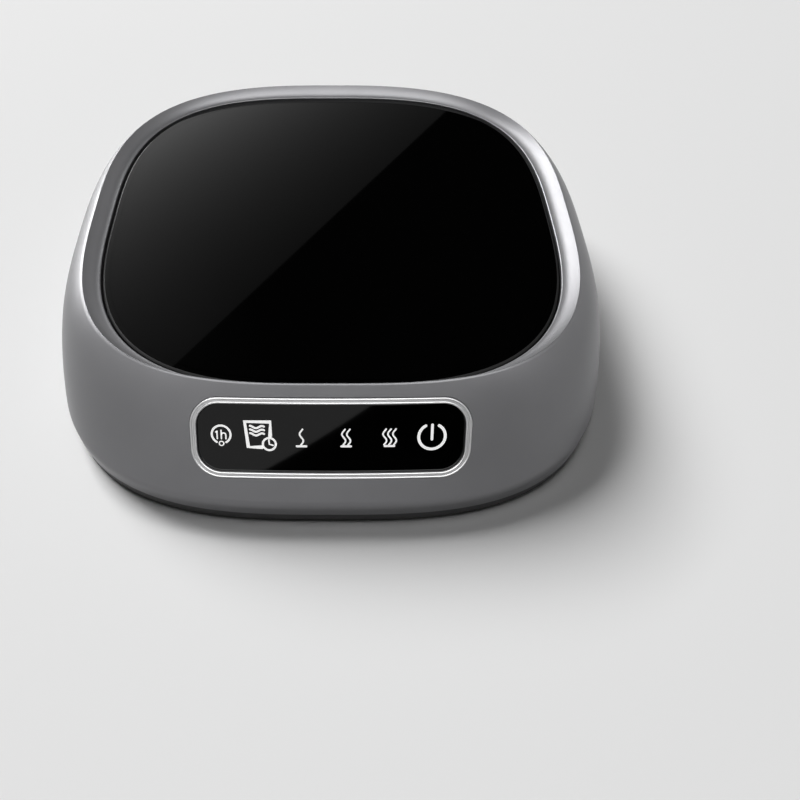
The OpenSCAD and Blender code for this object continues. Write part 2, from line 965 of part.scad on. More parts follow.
pole_pitch = 5;
poles = 4;
block_d = 7.6;
block_back = 6;
block_y = main_y + board_d / 2 - block_back;

// Each pole has a screw from above and a square entry for its wire at the back
module terminal_block() {
    entry = 0.6 * pole_pitch;
    color("seagreen")
        translate([0, block_y])
            difference() {
                brick(poles * pole_pitch, block_d, main_top, main_top + board_room);
                for (i = [0 : poles - 1])
                    translate([(i - (poles - 1) / 2) * pole_pitch, 0]) {
                        rod(entry / 2, main_top + 0.68 * board_room, main_top + board_room + 1);
                        translate([0, block_d / 2])
                            brick(
                                entry, 0.75 * block_d, main_top + 0.11 * board_room,
                                main_top + 0.54 * board_room
                            );
                    }
            }
}

film_spot = [-14, main_y + 4.5];
film_w = 6;
film_d = 13;

module film_capacitor() {
    color("khaki")
        translate(film_spot)
            brick(film_w, film_d, main_top, main_top + board_room);
}

can_spot = [-7, main_y + 4];
can_r = 3.15;
can_h = 0.97 * board_room;

// The can's top carries the cross-shaped score of its safety vent
module smoothing_capacitor() {
    color("navy")
        translate(can_spot)
            difference() {
                rod(can_r, main_top, main_top + can_h);
                for (a = [0, 90])
                    rotate([0, 0, a])
                        brick(1.3 * can_r, 0.3, main_top + can_h - 0.15, main_top + can_h + 1);
            }
}

triac_w = 10;
triac_body_d = 9;
triac_tab_d = 3.6;

module triac() {
    color("black")
        translate([-10, main_y - board_d / 2 + 9.5]) {
            brick(triac_w, triac_body_d, main_top, main_top + 0.6 * board_room);
            translate([0, (triac_body_d + triac_tab_d) / 2 - slack])
                brick(triac_w, triac_tab_d, main_top, main_top + 0.18 * board_room);
        }
}

glass_fuse_spot = [13, main_y + 1];
glass_fuse_z = main_top + 0.486 * board_room;
glass_fuse_l = 20;
cap_r = 0.35 * board_room;
cap_l = 5;
clip_d = 3;

module glass_fuse() {
    color("lightblue")
        translate([glass_fuse_spot[0], glass_fuse_spot[1], glass_fuse_z])
            rotate([90, 0, 0]) {
                rod(0.9 * cap_r, -glass_fuse_l / 2, glass_fuse_l / 2);
                rod(cap_r, -glass_fuse_l / 2, cap_l - glass_fuse_l / 2);
                rod(cap_r, glass_fuse_l / 2 - cap_l, glass_fuse_l / 2);
            }
}

module fuse_clips() {
    color("silver")
        for (s = [-1, 1])
            translate([glass_fuse_spot[0], glass_fuse_spot[1] + s * (glass_fuse_l - cap_l) / 2])
                difference() {
                    brick(2.46 * cap_r, clip_d, main_top, glass_fuse_z + 0.62 * cap_r);
                    translate([0, 0, glass_fuse_z])
                        rotate([90, 0, 0])
                            rod(cap_r + bore_play, -clip_d, clip_d);
                    brick(1.3 * cap_r, 2 * clip_d, glass_fuse_z, glass_fuse_z + 2 * cap_r);
                }
}

// ---- Wiring ----

ribbon_x = -12;
ribbon_w = 8;
ribbon_t = 0.8;

// A flat strip along a route in the y-z plane, mitred where it bends
module strip(route, t, w) {
    p = cut_corners(route);
    last = len(p) - 1;
    normals = [
        for (i = [0 : last])
            let (
                a = unit(p[max(1, i)] - p[max(0, i - 1)]),
                b = unit(p[min(last, i + 1)] - p[min(last - 1, i)]),
                m = a + b
            )
            [-m[1], m[0]] / (1 + a * b)
    ];
    rotate([90, 0, 90])
        linear_extrude(w, center = true)
            polygon(concat(
                [for (i = [0 : last]) p[i] + normals[i] * t / 2],
                [for (i = [last : -1 : 0]) p[i] - normals[i] * t / 2]
            ));
}

// Where the touch board's lower edge comes in the y-z plane
ribbon_start_s = touch_top - touch_h + 2.5;
ribbon_start_d = box_depth + board_t + ribbon_t / 2;
function panel_yz(s, d) = [
    panel_y + s * cos(face_angle) + d * sin(face_angle),
    panel_z + s * sin(face_angle) - d * cos(face_angle)
];

module ribbon_cable() {
    start = panel_yz(ribbon_start_s, ribbon_start_d + 0.02);
    low = floor_top + ribbon_t / 2 + 0.6;
    route = [
        start,
        [start[0] + 5, start[1] - 2],
        [start[0] + 8, low],
        [main_y - board_d / 2 - 3.4, low],
        [main_y - board_d / 2 - 1.2, main_top + 1.6],
        [main_y - board_d / 2 + 2.4, main_top + 1.6]
    ];
    color("lightgray")
        translate([ribbon_x, 0])
            union() {
                strip(route, ribbon_t, ribbon_w);
                translate([0, main_y - board_d / 2 + 2.2])
                    brick(ribbon_w + 2, 3, main_top, main_top + 2.8);
            }
}

lead_d = 1.6;

module heater_leads() {
    color("white")
        for (x = [-1, 1])
            wire(
                [
                    [x * 2.8, lead_spot[1] + 0.6, element_low - 1.6],
                    [x * 2.8, lead_spot[1], tray_top - 0.6],
                    [x * 2.8, lead_spot[1] + 4, tray_low - 5],
                    [x * 2.8, main_y - 8, tray_low - 5.2],
                    [x * 2.5, block_y - 11, tray_low - 5.2],
                    [x * 2.5, block_y - block_d / 2 - 0.4, main_top + board_room - 1.2]
                ],
                lead_d, [1, 0, 0]
            );
}

module switch_leads() {
    x = switch_x - switch_w / 2;
    front = main_y - board_d / 2;
    color("blue")
        for (s = [-1, 1])
            wire(
                [
                    [x - 3.1, switch_y + s * 1.6, switch_low + 3],
                    [x - 5.4, switch_y + s * 1.6, switch_low + 3],
                    [x - 7.6 + s, switch_y + 2 + s, switch_low + 2],
                    [x - 7.6 + s, front - 4, main_low + 1.2],
                    [x - 7.6 + s, front - 1.6, main_top + 1.8],
                    [x - 7.6 + s, front + 2.4, main_top + 1.8],
                    [x - 7.6 + s, front + 3.4, main_top + 0.4]
                ],
                1.2, [1, 1, 0]
            );
}

// ---- Base ----

base_in = 0.2;
base_edge = 0.4;
base_line = grow(foot_line, -skirt_in - base_in);
spigot_line = grow(foot_line, -skirt_in - wall - spigot_gap);
spigot_h = 2.4;
spigot_t = 1.4;
sink_t = 1.4;
foot_r = foot_d / 2;
foot_y = outline_y(base_line, foot_x + foot_r, true) - foot_r - foot_margin;
foot_sink = 0.8;
foot_play = 0.15;
foot_edge = 0.5;

module slot(l, w, low, high) {
    brick(l - w, w, low, high);
    for (s = [-1, 1])
        translate([s * (l - w) / 2, 0])
            rod(w / 2, low, high);
}

module vents() {
    row = [0, -14.5];
    for (i = [0 : vent_count - 1])
        translate([row[0] + (i - (vent_count - 1) / 2) * 2 * vent_w, row[1]])
            rotate([0, 0, 90])
                slot(14, vent_w, foot_h - 1, floor_top + 1);
}

module base_cover() {
    color("black")
        difference() {
            union() {
                slab(grow(base_line, -base_edge), foot_h, floor_top);
                slab(base_line, foot_h + base_edge, floor_top);
                band(base_line, grow(spigot_line, -spigot_t), floor_top, skirt_z);
                band(spigot_line, grow(spigot_line, -spigot_t), skirt_z, floor_top + spigot_h);
                for (p = guide_spots)
                    translate(p) {
                        rod(spring_r + seat_w / 2, floor_top, floor_top + seat_h);
                        rod(post_d / 2, floor_top, post_top - 0.6);
                        translate([0, 0, post_top - 0.6])
                            cylinder(h = 0.6, r1 = post_d / 2, r2 = post_d / 2 - 0.6);
                    }
                intersection() {
                    slab(spigot_line, floor_top - slack, boss_low);
                    for (p = boss_spots)
                        translate(p)
                            rod(well_d / 2, floor_top - 1, boss_low);
                }
                for (p = main_holes)
                    translate(p)
                        rod(2.6, floor_top, main_low);
                at_switch()
                    translate([0, switch_t / 2 + bracket_gap + bracket_t / 2])
                        brick(switch_w, bracket_t, floor_top, switch_low + 2 * switch_hole_z);
            }
            for (p = boss_spots)
                translate(p) {
                    rod(screw_d / 2 + 0.2, 0, boss_low + 1);
                    rod(head_d / 2 + 0.3, 0, boss_low - sink_t);
                }
            for (x = [-1, 1], y = [-1, 1])
                translate([x * foot_x, y * foot_y])
                    rod(foot_r + foot_play, 0, foot_h + foot_sink);
            for (p = main_holes)
                translate(p)
                    rod(board_screw_d / 2 + bore_play, floor_top + 0.4, main_low + 1);
            at_switch()
                for (x = switch_holes)
                    cross_bar(x, switch_low + switch_hole_z, switch_screw_d / 2 + bore_play, 0, switch_t);
            vents();
        }
}

module base_screws() {
    color("silver")
        for (p = boss_spots)
            translate([p[0], p[1], boss_low - sink_t])
                screw(screw_d - thread, head_d, head_h, 3 * screw_d);
}

module rubber_feet() {
    color("darkslategray")
        for (x = [-1, 1], y = [-1, 1])
            translate([x * foot_x, y * foot_y]) {
                cylinder(h = foot_edge, r1 = foot_r - foot_edge, r2 = foot_r);
                rod(foot_r, foot_edge, foot_h + foot_sink);
            }
}

module cord_gland() {
    color("darkslategray")
        translate([0, gland_face, gland_z])
            rotate([-90, 0, 0])
                difference() {
                    union() {
                        rod(gland_flange_r, 0, gland_flange_t);
                        rod(gland_neck_r, -gland_pad_t, 0);
                        rod(gland_neck_r + 1.1, -gland_pad_t - gland_flange_t, -gland_pad_t);
                    }
                    rod(gland_bore_r, -gland_pad_t - 3, 3);
                }
}

upper_housing();
panel_trim_ring();
panel_lens();
light_box();
touch_board();
panel_leds();
touch_springs();
touch_board_screws();
glass_plate();
glass_adhesive();
heat_spreader();
heating_element();
mica_sheet();
insulation_pad();
plate_carrier();
temperature_sensor();
sensor_clip();
thermal_fuse();
return_springs();
switch_body();
switch_terminals();
switch_lever();
switch_plunger();
switch_screws();
main_board();
terminal_block();
film_capacitor();
smoothing_capacitor();
triac();
glass_fuse();
fuse_clips();
board_screws();
ribbon_cable();
heater_leads();
switch_leads();
base_cover();
base_screws();
rubber_feet();
cord_gland();
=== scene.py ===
# %% [markdown]
# An electric mug warmer: a painted housing with a dished rim round a black glass heating plate, and a sloped
# touch panel with a satin trim ring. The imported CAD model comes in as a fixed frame. Pieces that show are
# modelled again here with finer surfaces, each standing for its CAD piece, and the rest keep their own mesh.

# %% Load the frame
import math

import bmesh
import bpy
from mathutils import Matrix, Vector


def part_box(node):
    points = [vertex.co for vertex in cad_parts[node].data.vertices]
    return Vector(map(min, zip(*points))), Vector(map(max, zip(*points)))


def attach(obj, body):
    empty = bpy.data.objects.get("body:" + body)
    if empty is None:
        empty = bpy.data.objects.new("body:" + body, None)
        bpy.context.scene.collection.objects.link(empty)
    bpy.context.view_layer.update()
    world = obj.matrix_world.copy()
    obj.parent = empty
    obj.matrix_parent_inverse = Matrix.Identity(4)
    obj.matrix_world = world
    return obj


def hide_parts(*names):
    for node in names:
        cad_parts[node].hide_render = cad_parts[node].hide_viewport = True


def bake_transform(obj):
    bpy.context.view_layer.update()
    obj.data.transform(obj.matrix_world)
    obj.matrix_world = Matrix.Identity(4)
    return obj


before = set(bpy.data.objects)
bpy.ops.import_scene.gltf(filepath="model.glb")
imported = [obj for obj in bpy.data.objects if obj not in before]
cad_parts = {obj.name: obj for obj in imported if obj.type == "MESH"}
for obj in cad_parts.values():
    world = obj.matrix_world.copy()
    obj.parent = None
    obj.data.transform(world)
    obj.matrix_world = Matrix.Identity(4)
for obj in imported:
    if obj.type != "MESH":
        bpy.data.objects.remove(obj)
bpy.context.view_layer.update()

# %% [markdown]
# Blender works in metres and the part's drawings are in millimetres, so one factor joins them. The driving
# sizes are read from the frame where a CAD piece shows them, and the rest are the drawing's own values.

# %% Sizes of the housing, in millimetres
MM = 0.001
CREASE_Z = 7.3
SKIRT_Z, SKIRT_MID_Z = 3.5, 5.4
SKIRT_IN = 0.1
WALL = 2.0
SWELL = {2: 0.5, 4: 0.1, 8: 0.4}
FOOT_SQUARE, FOOT_BACK_SQUARE, FOOT_AHEAD = 3.0, 2.3, 5.5
RIM_SQUARE, RIM_BACK_SQUARE, RIM_BEHIND = 3.2, 2.8, 7.9
FASCIA_RUN = 15.1
BAND_SIDE, BAND_BACK = 3.45, 2.5
PLATE_SQUARE = 3.0
PLATE_GAP = 0.45
LIP_H, LIP_EDGE = 0.3, 0.15
BAND_HOLLOW = 1.7


def box_mm(node):
    """The lowest and highest corners of a CAD piece, in millimetres."""
    low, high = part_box(node)
    return Vector(low) / MM, Vector(high) / MM


shell_low, shell_high = box_mm("upper_housing")
glass_low, glass_high = box_mm("glass_plate")
BODY_W = shell_high.x - shell_low.x
BODY_D = 2 * -shell_low.y
BODY_H = shell_high.z
print(f"housing {BODY_W:.1f} x {BODY_D:.1f} x {BODY_H:.1f}, glass top at {glass_high.z:.2f}")

# %% [markdown]
# The footprint and the rim are squircles, outlines between an ellipse and a rectangle. A squircle is kept as
# half width, front, back, squareness of its front and of its back, and the line where it is widest. The
# front is a straight slope with the panel. The side and back walls come in slowly at first and quickly just
# under the crest: SWELL gives the shares of the second, fourth and eighth power of the height in that. Curve
# objects could draw these outlines too, but a formula keeps every height in step with the sizes.

# %% Outlines
PLATE_MIDDLE = (glass_low.y + glass_high.y) / 2
PLATE_LINE = (glass_high.x, glass_low.y, glass_high.y, PLATE_SQUARE, PLATE_SQUARE, PLATE_MIDDLE)
FOOT_LINE = (BODY_W / 2, -BODY_D / 2, BODY_D / 2, FOOT_SQUARE, FOOT_BACK_SQUARE, -FOOT_AHEAD)
RIM_HALF = glass_high.x + PLATE_GAP + BAND_SIDE
RIM_FRONT, RIM_BACK = -BODY_D / 2 + FASCIA_RUN, glass_high.y + PLATE_GAP + BAND_BACK
RIM_LINE = (RIM_HALF, RIM_FRONT, RIM_BACK, RIM_SQUARE, RIM_BACK_SQUARE, RIM_BEHIND)


def mix(a, b, k):
    """The value at share k of the way from a to b."""
    return a + (b - a) * k


def mix_line(a, b, k):
    """The outline at share k of the way from one outline to another."""
    return tuple(mix(p, q, k) for p, q in zip(a, b))


def grow(line, d):
    """The same outline, d millimetres further out."""
    return (line[0] + d, line[1] - d, line[2] + d, *line[3:])


def outline_point(line, turn):
    """The point of a squircle at a turn, in radians."""
    half, front, back, front_square, back_square, centre = line
    c, s = math.cos(turn), math.sin(turn)
    square, end = (back_square, back) if s > 0 else (front_square, front)
    return half * math.copysign(abs(c) ** (2 / square), c), mix(centre, end, abs(s) ** (2 / square))


def body_line(z):
    """The outline of the housing's outer surface at height z."""
    u = min(1.0, max(0.0, (z - CREASE_Z) / (BODY_H - CREASE_Z)))
    g = sum(share * u**power for power, share in SWELL.items())
    sides, front = mix_line(FOOT_LINE, RIM_LINE, g), mix_line(FOOT_LINE, RIM_LINE, u)
    return (sides[0], front[1], sides[2], *front[3:])


print("rim", [round(v, 2) for v in RIM_LINE])

# %% [markdown]
# A lofted shell is drawn as one loop of points that is extruded again and again, each time moved to the next
# outline. Every point keeps its own turn round the squircle in a layer of the mesh, and extrude copies the
# layer, so no list of vertices or faces is needed. Merging doubles closes a loop that comes back to its start
# and turns a loop that has shrunk to a point into a clean pole.

# %% Lofting round a squircle
ROUND_STEPS = 288
SHARP_DEG = 40.0
SAME_POINT, SLIVER = 1e-7, 1e-6


def as_object(bm, name):
    """Makes an object of a bmesh, at the origin, and frees the bmesh."""
    mesh = bpy.data.meshes.new(name)
    bm.to_mesh(mesh)
    bm.free()
    piece = bpy.data.objects.new(name, mesh)
    bpy.context.scene.collection.objects.link(piece)
    return piece


def mark_sharp(bm, sharp_deg=SHARP_DEG):
    """Keeps the shading apart where two faces meet at more than an angle."""
    for edge in bm.edges:
        if len(edge.link_faces) == 2:
            edge.smooth = edge.calc_face_angle(0.0) < math.radians(sharp_deg)


def finish_mesh(bm, name, sharp_deg=SHARP_DEG):
    """Merges doubles, dissolves slivers, points the faces outwards and makes an object of the mesh."""
    bmesh.ops.remove_doubles(bm, verts=bm.verts, dist=SAME_POINT)
    bmesh.ops.dissolve_degenerate(bm, dist=SLIVER, edges=bm.edges)
    bmesh.ops.recalc_face_normals(bm, faces=bm.faces)
    for face in bm.faces:
        face.smooth = True
    mark_sharp(bm, sharp_deg)
    return as_object(bm, name)


def extrude_to(bm, edges, place):
    """Extrudes a loop of edges and moves each new point to where place says."""
    new = bmesh.ops.extrude_edge_only(bm, edges=edges)["geom"]
    for vert in (g for g in new if isinstance(g, bmesh.types.BMVert)):
        vert.co = place(vert)
    return [g for g in new if isinstance(g, bmesh.types.BMEdge)]


def loft(stations, closed, steps=ROUND_STEPS):
    """A bmesh skinned through (outline, height, share of its size) stations."""
    bm = bmesh.new()
    turn = bm.verts.layers.float.new("turn")
    ring = bmesh.ops.create_circle(bm, segments=steps, radius=1.0)["verts"]
    for i, vert in enumerate(ring):
        vert[turn] = 2 * math.pi * i / steps

    def placer(station):
        line, z, share = station

        def place(vert):
            x, y = outline_point(line, vert[turn])
            return Vector((x * share, mix(line[5], y, share), z)) * MM

        return place

    first = placer(stations[0])
    for vert in ring:
        vert.co = first(vert)
    edges = list(bm.edges)
    for station in stations[1:] + stations[:1] * closed:
        edges = extrude_to(bm, edges, placer(station))
    return bm


print("points round a squircle", ROUND_STEPS)

# %% [markdown]
# The housing is a moulded shell: a straight or bulging outer wall, a soft crest at the rim, a dished band
# that falls to the glass, a chamfered lip, a skirt and an inner wall. Its section is listed once as stations
# and lofted round. Close stations at the crest and the lip round them, as a mould's edges are. A Bevel could
# round them too, once each edge was picked out, and stations need no picking.

# %% Stations of the housing
WALL_STEPS = 36
BAND_STEPS = 22
LIP_Z = glass_high.z + LIP_H
LIP_LINE = grow(PLATE_LINE, PLATE_GAP + LIP_EDGE)
WELL_LINE = grow(PLATE_LINE, PLATE_GAP)
STOP_UNDER, ROOF_T = 0.6, 1.2
STOP_Z = glass_low.z - STOP_UNDER
ROOF_Z = STOP_Z + ROOF_T
LEDGE_W, LEDGE_DROP = 1.2, 0.3
CREST_R = 0.3
CREST_STEPS = ((0.004, 0.12), (0.02, 0.02), (0.045, 0.0))
BAND_START, BAND_FALL, BAND_DROP = 0.085, 0.94, 0.05
INNER_HEIGHTS = (ROOF_Z, 20.0, 15.0, 11.0, CREASE_Z)


def band_station(k):
    """A station of the dished band: 0 is the crest, 1 is the lip."""
    fall = ((1 - k) / BAND_FALL) ** BAND_HOLLOW
    return (mix_line(RIM_LINE, LIP_LINE, k), mix(LIP_Z, BODY_H - BAND_DROP, min(1.0, fall)), 1.0)


skirt_stations = [
    (grow(FOOT_LINE, -SKIRT_IN), SKIRT_Z, 1.0),
    (grow(FOOT_LINE, -SKIRT_IN / 2), SKIRT_MID_Z, 1.0),
]
wall_rises = [math.sin(math.pi / 2 * i / WALL_STEPS) for i in range(WALL_STEPS + 1)]
wall_heights = [mix(CREASE_Z, BODY_H - CREST_R, rise) for rise in wall_rises]
wall_stations = [(body_line(z), z, 1.0) for z in wall_heights]
crest_stations = [(mix_line(RIM_LINE, LIP_LINE, k), BODY_H - drop, 1.0) for k, drop in CREST_STEPS]
band_stations = [band_station(mix(BAND_START, 1.0, i / BAND_STEPS)) for i in range(BAND_STEPS + 1)]
inner_stations = [
    (WELL_LINE, LIP_Z - LIP_EDGE, 1.0),
    (WELL_LINE, STOP_Z, 1.0),
    (grow(WELL_LINE, LEDGE_W), STOP_Z, 1.0),
    (grow(WELL_LINE, LEDGE_W), ROOF_Z - LEDGE_DROP, 1.0),
] + [(grow(body_line(z), -WALL), z, 1.0) for z in INNER_HEIGHTS]
inner_stations.append((grow(FOOT_LINE, -WALL - SKIRT_IN), SKIRT_Z, 1.0))
shell_stations = skirt_stations + wall_stations + crest_stations + band_stations + inner_stations
print("stations", len(shell_stations))

# %% [markdown]
# The panel has its own frame: x to the right, y up the slope and z straight out. The slope is slightly
# curved from left to right, so a panel piece is first drawn flat and then laid on a cylinder. The ring turns
# its corners at 6.2 mm, tighter than the solids' 7.4 mm, because it was measured last.

# %% The panel's frame
PANEL_DROP = 9.5
PANEL_Z = BODY_H - PANEL_DROP
RING_W, RING_H, RING_R = 56.5, 17.25, 6.2
RING_FACE, RING_PROUD = 1.3, 0.45
LENS_SINK, POCKET_DEPTH = 0.2, 1.4
FACE_ANGLE = math.atan2(BODY_H - CREASE_Z, FASCIA_RUN)


def front_y(line, x):
    """The y of an outline's front half at x."""
    return mix(line[5], line[1], (1 - (abs(x) / line[0]) ** line[3]) ** (1 / line[3]))


panel_line = body_line(PANEL_Z)
PANEL_Y = front_y(panel_line, 0.0)
sag = (front_y(panel_line, RING_W / 2) - PANEL_Y) * math.sin(FACE_ANGLE)
FACE_R = ((RING_W / 2) ** 2 + sag**2) / (2 * sag)
panel_matrix = Matrix.Translation(Vector((0, PANEL_Y, PANEL_Z)) * MM) @ Matrix.Rotation(FACE_ANGLE, 4, "X")


def on_slope(x, y, height):
    """Lays a point of the flat panel drawing on the curved slope, in metres."""
    z = math.sqrt((FACE_R + height) ** 2 - x * x) - FACE_R
    return panel_matrix @ (Vector((x, y, z)) * MM)


print(f"slope {math.degrees(FACE_ANGLE):.1f} degrees, curved to {FACE_R:.0f} mm")

# %% [markdown]
# A rounded rectangle is drawn as a circle whose quarters are pulled apart. Each point keeps the corner
# centre that it turns round and its direction from it, so an inset of any depth is one formula, and the long
# sides are cut into short edges that can follow the curve of the slope.

# %% Lofting round a rounded rectangle
CORNER_STEPS = 24
LONG_CUTS, SHORT_CUTS = 40, 8
SHORTEST_SIDE = 2.0
FACE_SHARES = (0.0, 0.34, 0.67, 1.0)


def panel_loft(w, h, r, stations, closed):
    """A bmesh through (inset, height, share) stations of a rounded rectangle, laid on the slope."""
    bm = bmesh.new()
    centre = bm.verts.layers.float_vector.new("centre")
    way = bm.verts.layers.float_vector.new("way")
    verts = bmesh.ops.create_circle(bm, segments=4 * (CORNER_STEPS + 1), radius=1.0)["verts"]
    for i, vert in enumerate(verts):
        quarter, step = divmod(i, CORNER_STEPS + 1)
        turn = math.pi / 2 * (quarter + step / CORNER_STEPS)
        side = (1 if quarter in (0, 3) else -1, 1 if quarter in (0, 1) else -1)
        vert[centre] = (side[0] * (w / 2 - r), side[1] * (h / 2 - r), 0)
        vert[way] = (math.cos(turn), math.sin(turn), 0)
        vert.co = Vector(vert[centre]) + r * Vector(vert[way])
    for cuts, axis in ((LONG_CUTS, 0), (SHORT_CUTS, 1)):
        long = [e for e in bm.edges if abs(e.verts[0].co[axis] - e.verts[1].co[axis]) > SHORTEST_SIDE]
        bmesh.ops.subdivide_edges(bm, edges=long, cuts=cuts)

    def placer(station):
        inset, height, share = station

        def place(vert):
            c, d = vert[centre], vert[way]
            return on_slope(c[0] + (r - inset) * d[0], c[1] * share + (r - inset) * d[1], height)

        return place

    first = placer(stations[0])
    for vert in bm.verts:
        vert.co = first(vert)
    edges = list(bm.edges)
    for station in stations[1:] + stations[:1] * closed:
        edges = extrude_to(bm, edges, placer(station))
    return bm


def closed_face(r, height):
    """Stations that close a face from its middle line out to the corner centres."""
    return [(r, height, share) for share in FACE_SHARES]


print("points in a corner", CORNER_STEPS)

# %% [markdown]
# The pocket for the ring and the recess for the cord's gland are cut from the shell with Booleans, because
# they cross many faces of the loft. The cutters are removed once the cut is applied, and the new edges are
# marked sharp, because shading that runs smoothly across a cut shows as bright fragments.

# %% Housing shell with its pocket and its recess
RING_CLEAR = 0.1
POCKET_IN, POCKET_OUT = -6.0, 4.0
GLAND_PROUD, GLAND_CLEAR, GLAND_CUT = 1.3, 0.4, 6
CORD_HOLE_R, CORD_CUT_IN, CORD_CUT_OUT = 4.5, 8, 1
CUTTER_STEPS = 96
gland_low, gland_high = box_mm("cord_gland")
GLAND_FACE = gland_high.y - GLAND_PROUD
GLAND_Z = (gland_low.z + gland_high.z) / 2
GLAND_R = (gland_high.x - gland_low.x) / 2


def cut(piece, cutter):
    """Takes one mesh out of another for good."""
    step = piece.modifiers.new("cut", "BOOLEAN")
    step.object, step.operation, step.solver = cutter, "DIFFERENCE", "EXACT"
    bpy.context.view_layer.update()
    graph = bpy.context.evaluated_depsgraph_get()
    mesh = bpy.data.meshes.new_from_object(piece.evaluated_get(graph))
    bm = bmesh.new()
    bm.from_mesh(mesh)
    mark_sharp(bm)
    bm.to_mesh(mesh)
    bm.free()
    piece.modifiers.remove(step)
    old, piece.data = piece.data, mesh
    bpy.data.meshes.remove(old)
    bpy.data.objects.remove(cutter)


def round_cutter(r, y0, y1, z):
    """A cylinder along Y, in millimetres."""
    bm = bmesh.new()
    bmesh.ops.create_cone(
        bm, cap_ends=True, segments=CUTTER_STEPS, radius1=r * MM, radius2=r * MM, depth=(y1 - y0) * MM
    )
    place = Matrix.Translation(Vector((0, (y0 + y1) / 2, z)) * MM) @ Matrix.Rotation(math.pi / 2, 4, "X")
    bmesh.ops.transform(bm, matrix=place, verts=bm.verts)
    return finish_mesh(bm, "cutter")


housing_shell = finish_mesh(loft(shell_stations, closed=True), "housing_shell")
pocket_r = RING_R + RING_CLEAR
pocket_stations = closed_face(pocket_r, POCKET_IN) + [(0.0, POCKET_IN, 1.0), (0.0, POCKET_OUT, 1.0)]
pocket_stations += list(reversed(closed_face(pocket_r, POCKET_OUT)))
pocket = panel_loft(RING_W + 2 * RING_CLEAR, RING_H + 2 * RING_CLEAR, pocket_r, pocket_stations, closed=False)
cut(housing_shell, finish_mesh(pocket, "cutter"))
cut(housing_shell, round_cutter(GLAND_R + GLAND_CLEAR, GLAND_FACE, GLAND_FACE + GLAND_CUT, GLAND_Z))
cut(housing_shell, round_cutter(CORD_HOLE_R, GLAND_FACE - CORD_CUT_IN, GLAND_FACE + CORD_CUT_OUT, GLAND_Z))
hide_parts("upper_housing")
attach(housing_shell, "housing")
print("housing_shell faces", len(housing_shell.data.polygons))

# %% [markdown]
# The heating plate is black toughened glass, cut to a squircle with a narrow ground edge. Its section is a
# few stations from the middle of the underside, round the edge and back to the middle of the top. Extra rows
# just inside the edge hold the top's shading flat, or a mirror-like face would show a bent reflection there.

# %% Glass plate
EDGE_GRIND = 0.4
EDGE_SOFT, EDGE_IN, EDGE_DOWN = 0.06, 0.4, 0.5
FLAT_ROWS = (EDGE_SOFT, 0.12, 0.25, 0.6, 1.2)
UNDER_SHARES, TOP_SHARES = (0.0, 0.5), (0.97, 0.5, 0.0)
CRISP_DEG = 30


def pane_stations(line, low, high):
    """The pane's section, from the middle of its underside to the middle of its top."""
    top = high - EDGE_GRIND
    return [
        *[(line, low, share) for share in UNDER_SHARES],
        (grow(line, -EDGE_GRIND), low, 1.0),
        (line, low + EDGE_GRIND, 1.0),
        (line, top - EDGE_SOFT, 1.0),
        (grow(line, -EDGE_SOFT * EDGE_IN), top + EDGE_SOFT, 1.0),
        (grow(line, -EDGE_GRIND + EDGE_SOFT), high - EDGE_SOFT * EDGE_DOWN, 1.0),
        *[(grow(line, -EDGE_GRIND - inset), high, 1.0) for inset in FLAT_ROWS],
        *[(line, high, share) for share in TOP_SHARES],
    ]


pane_section = pane_stations(PLATE_LINE, glass_low.z, glass_high.z)
glass_pane = finish_mesh(loft(pane_section, closed=False), "glass_pane", CRISP_DEG)
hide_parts("glass_plate")
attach(glass_pane, "plate")
print("glass_pane faces", len(glass_pane.data.polygons))

# %% [markdown]
# The trim ring is a satin plated moulding: two rounded beads with a shallow groove between them. Its section
# is a short row of insets and heights, lofted round the rounded rectangle and laid on the slope. A curve with
# a profile could carry the section too, but would not share its corners and its slope with the lens.

# %% Trim ring
BEAD_W = 0.5
BEAD_RISE, BEAD_FULL = 0.3, 0.8
GROOVE_DROP, GROOVE_SOFT = 0.16, 0.06
BEAD_STEPS = 10
RING_SHARP_DEG = 50


def bead(start, low, high):
    """Stations over one bead, as half a flattened circle."""
    turns = [math.pi * i / BEAD_STEPS for i in range(BEAD_STEPS + 1)]
    return [
        (start + BEAD_W / 2 * (1 - math.cos(t)), mix(low, high, math.sin(t) ** BEAD_FULL), 1.0) for t in turns
    ]


inner_bead = RING_FACE - BEAD_W
groove = (BEAD_W, BEAD_W + GROOVE_SOFT, RING_FACE - BEAD_W - GROOVE_SOFT, inner_bead)
ring_stations = [
    (0.0, -POCKET_DEPTH, 1.0),
    *bead(0.0, RING_PROUD - BEAD_RISE, RING_PROUD)[:-1],
    *[(x, RING_PROUD - GROOVE_DROP, 1.0) for x in groove],
    *bead(inner_bead, RING_PROUD - BEAD_RISE, RING_PROUD)[1:],
    (RING_FACE, -POCKET_DEPTH, 1.0),
]
ring_mesh = panel_loft(RING_W, RING_H, RING_R, ring_stations, closed=True)
trim_ring = finish_mesh(ring_mesh, "trim_ring", RING_SHARP_DEG)
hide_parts("panel_trim_ring")
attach(trim_ring, "housing")
print("trim_ring faces", len(trim_ring.data.polygons))

# %% [markdown]
# The lens is one sheet of black gloss plastic that lies a little below the ring, and nothing on it moves. It
# is closed from the edge to its middle line, with rows near the edge that hold its shading flat, as on the
# glass.

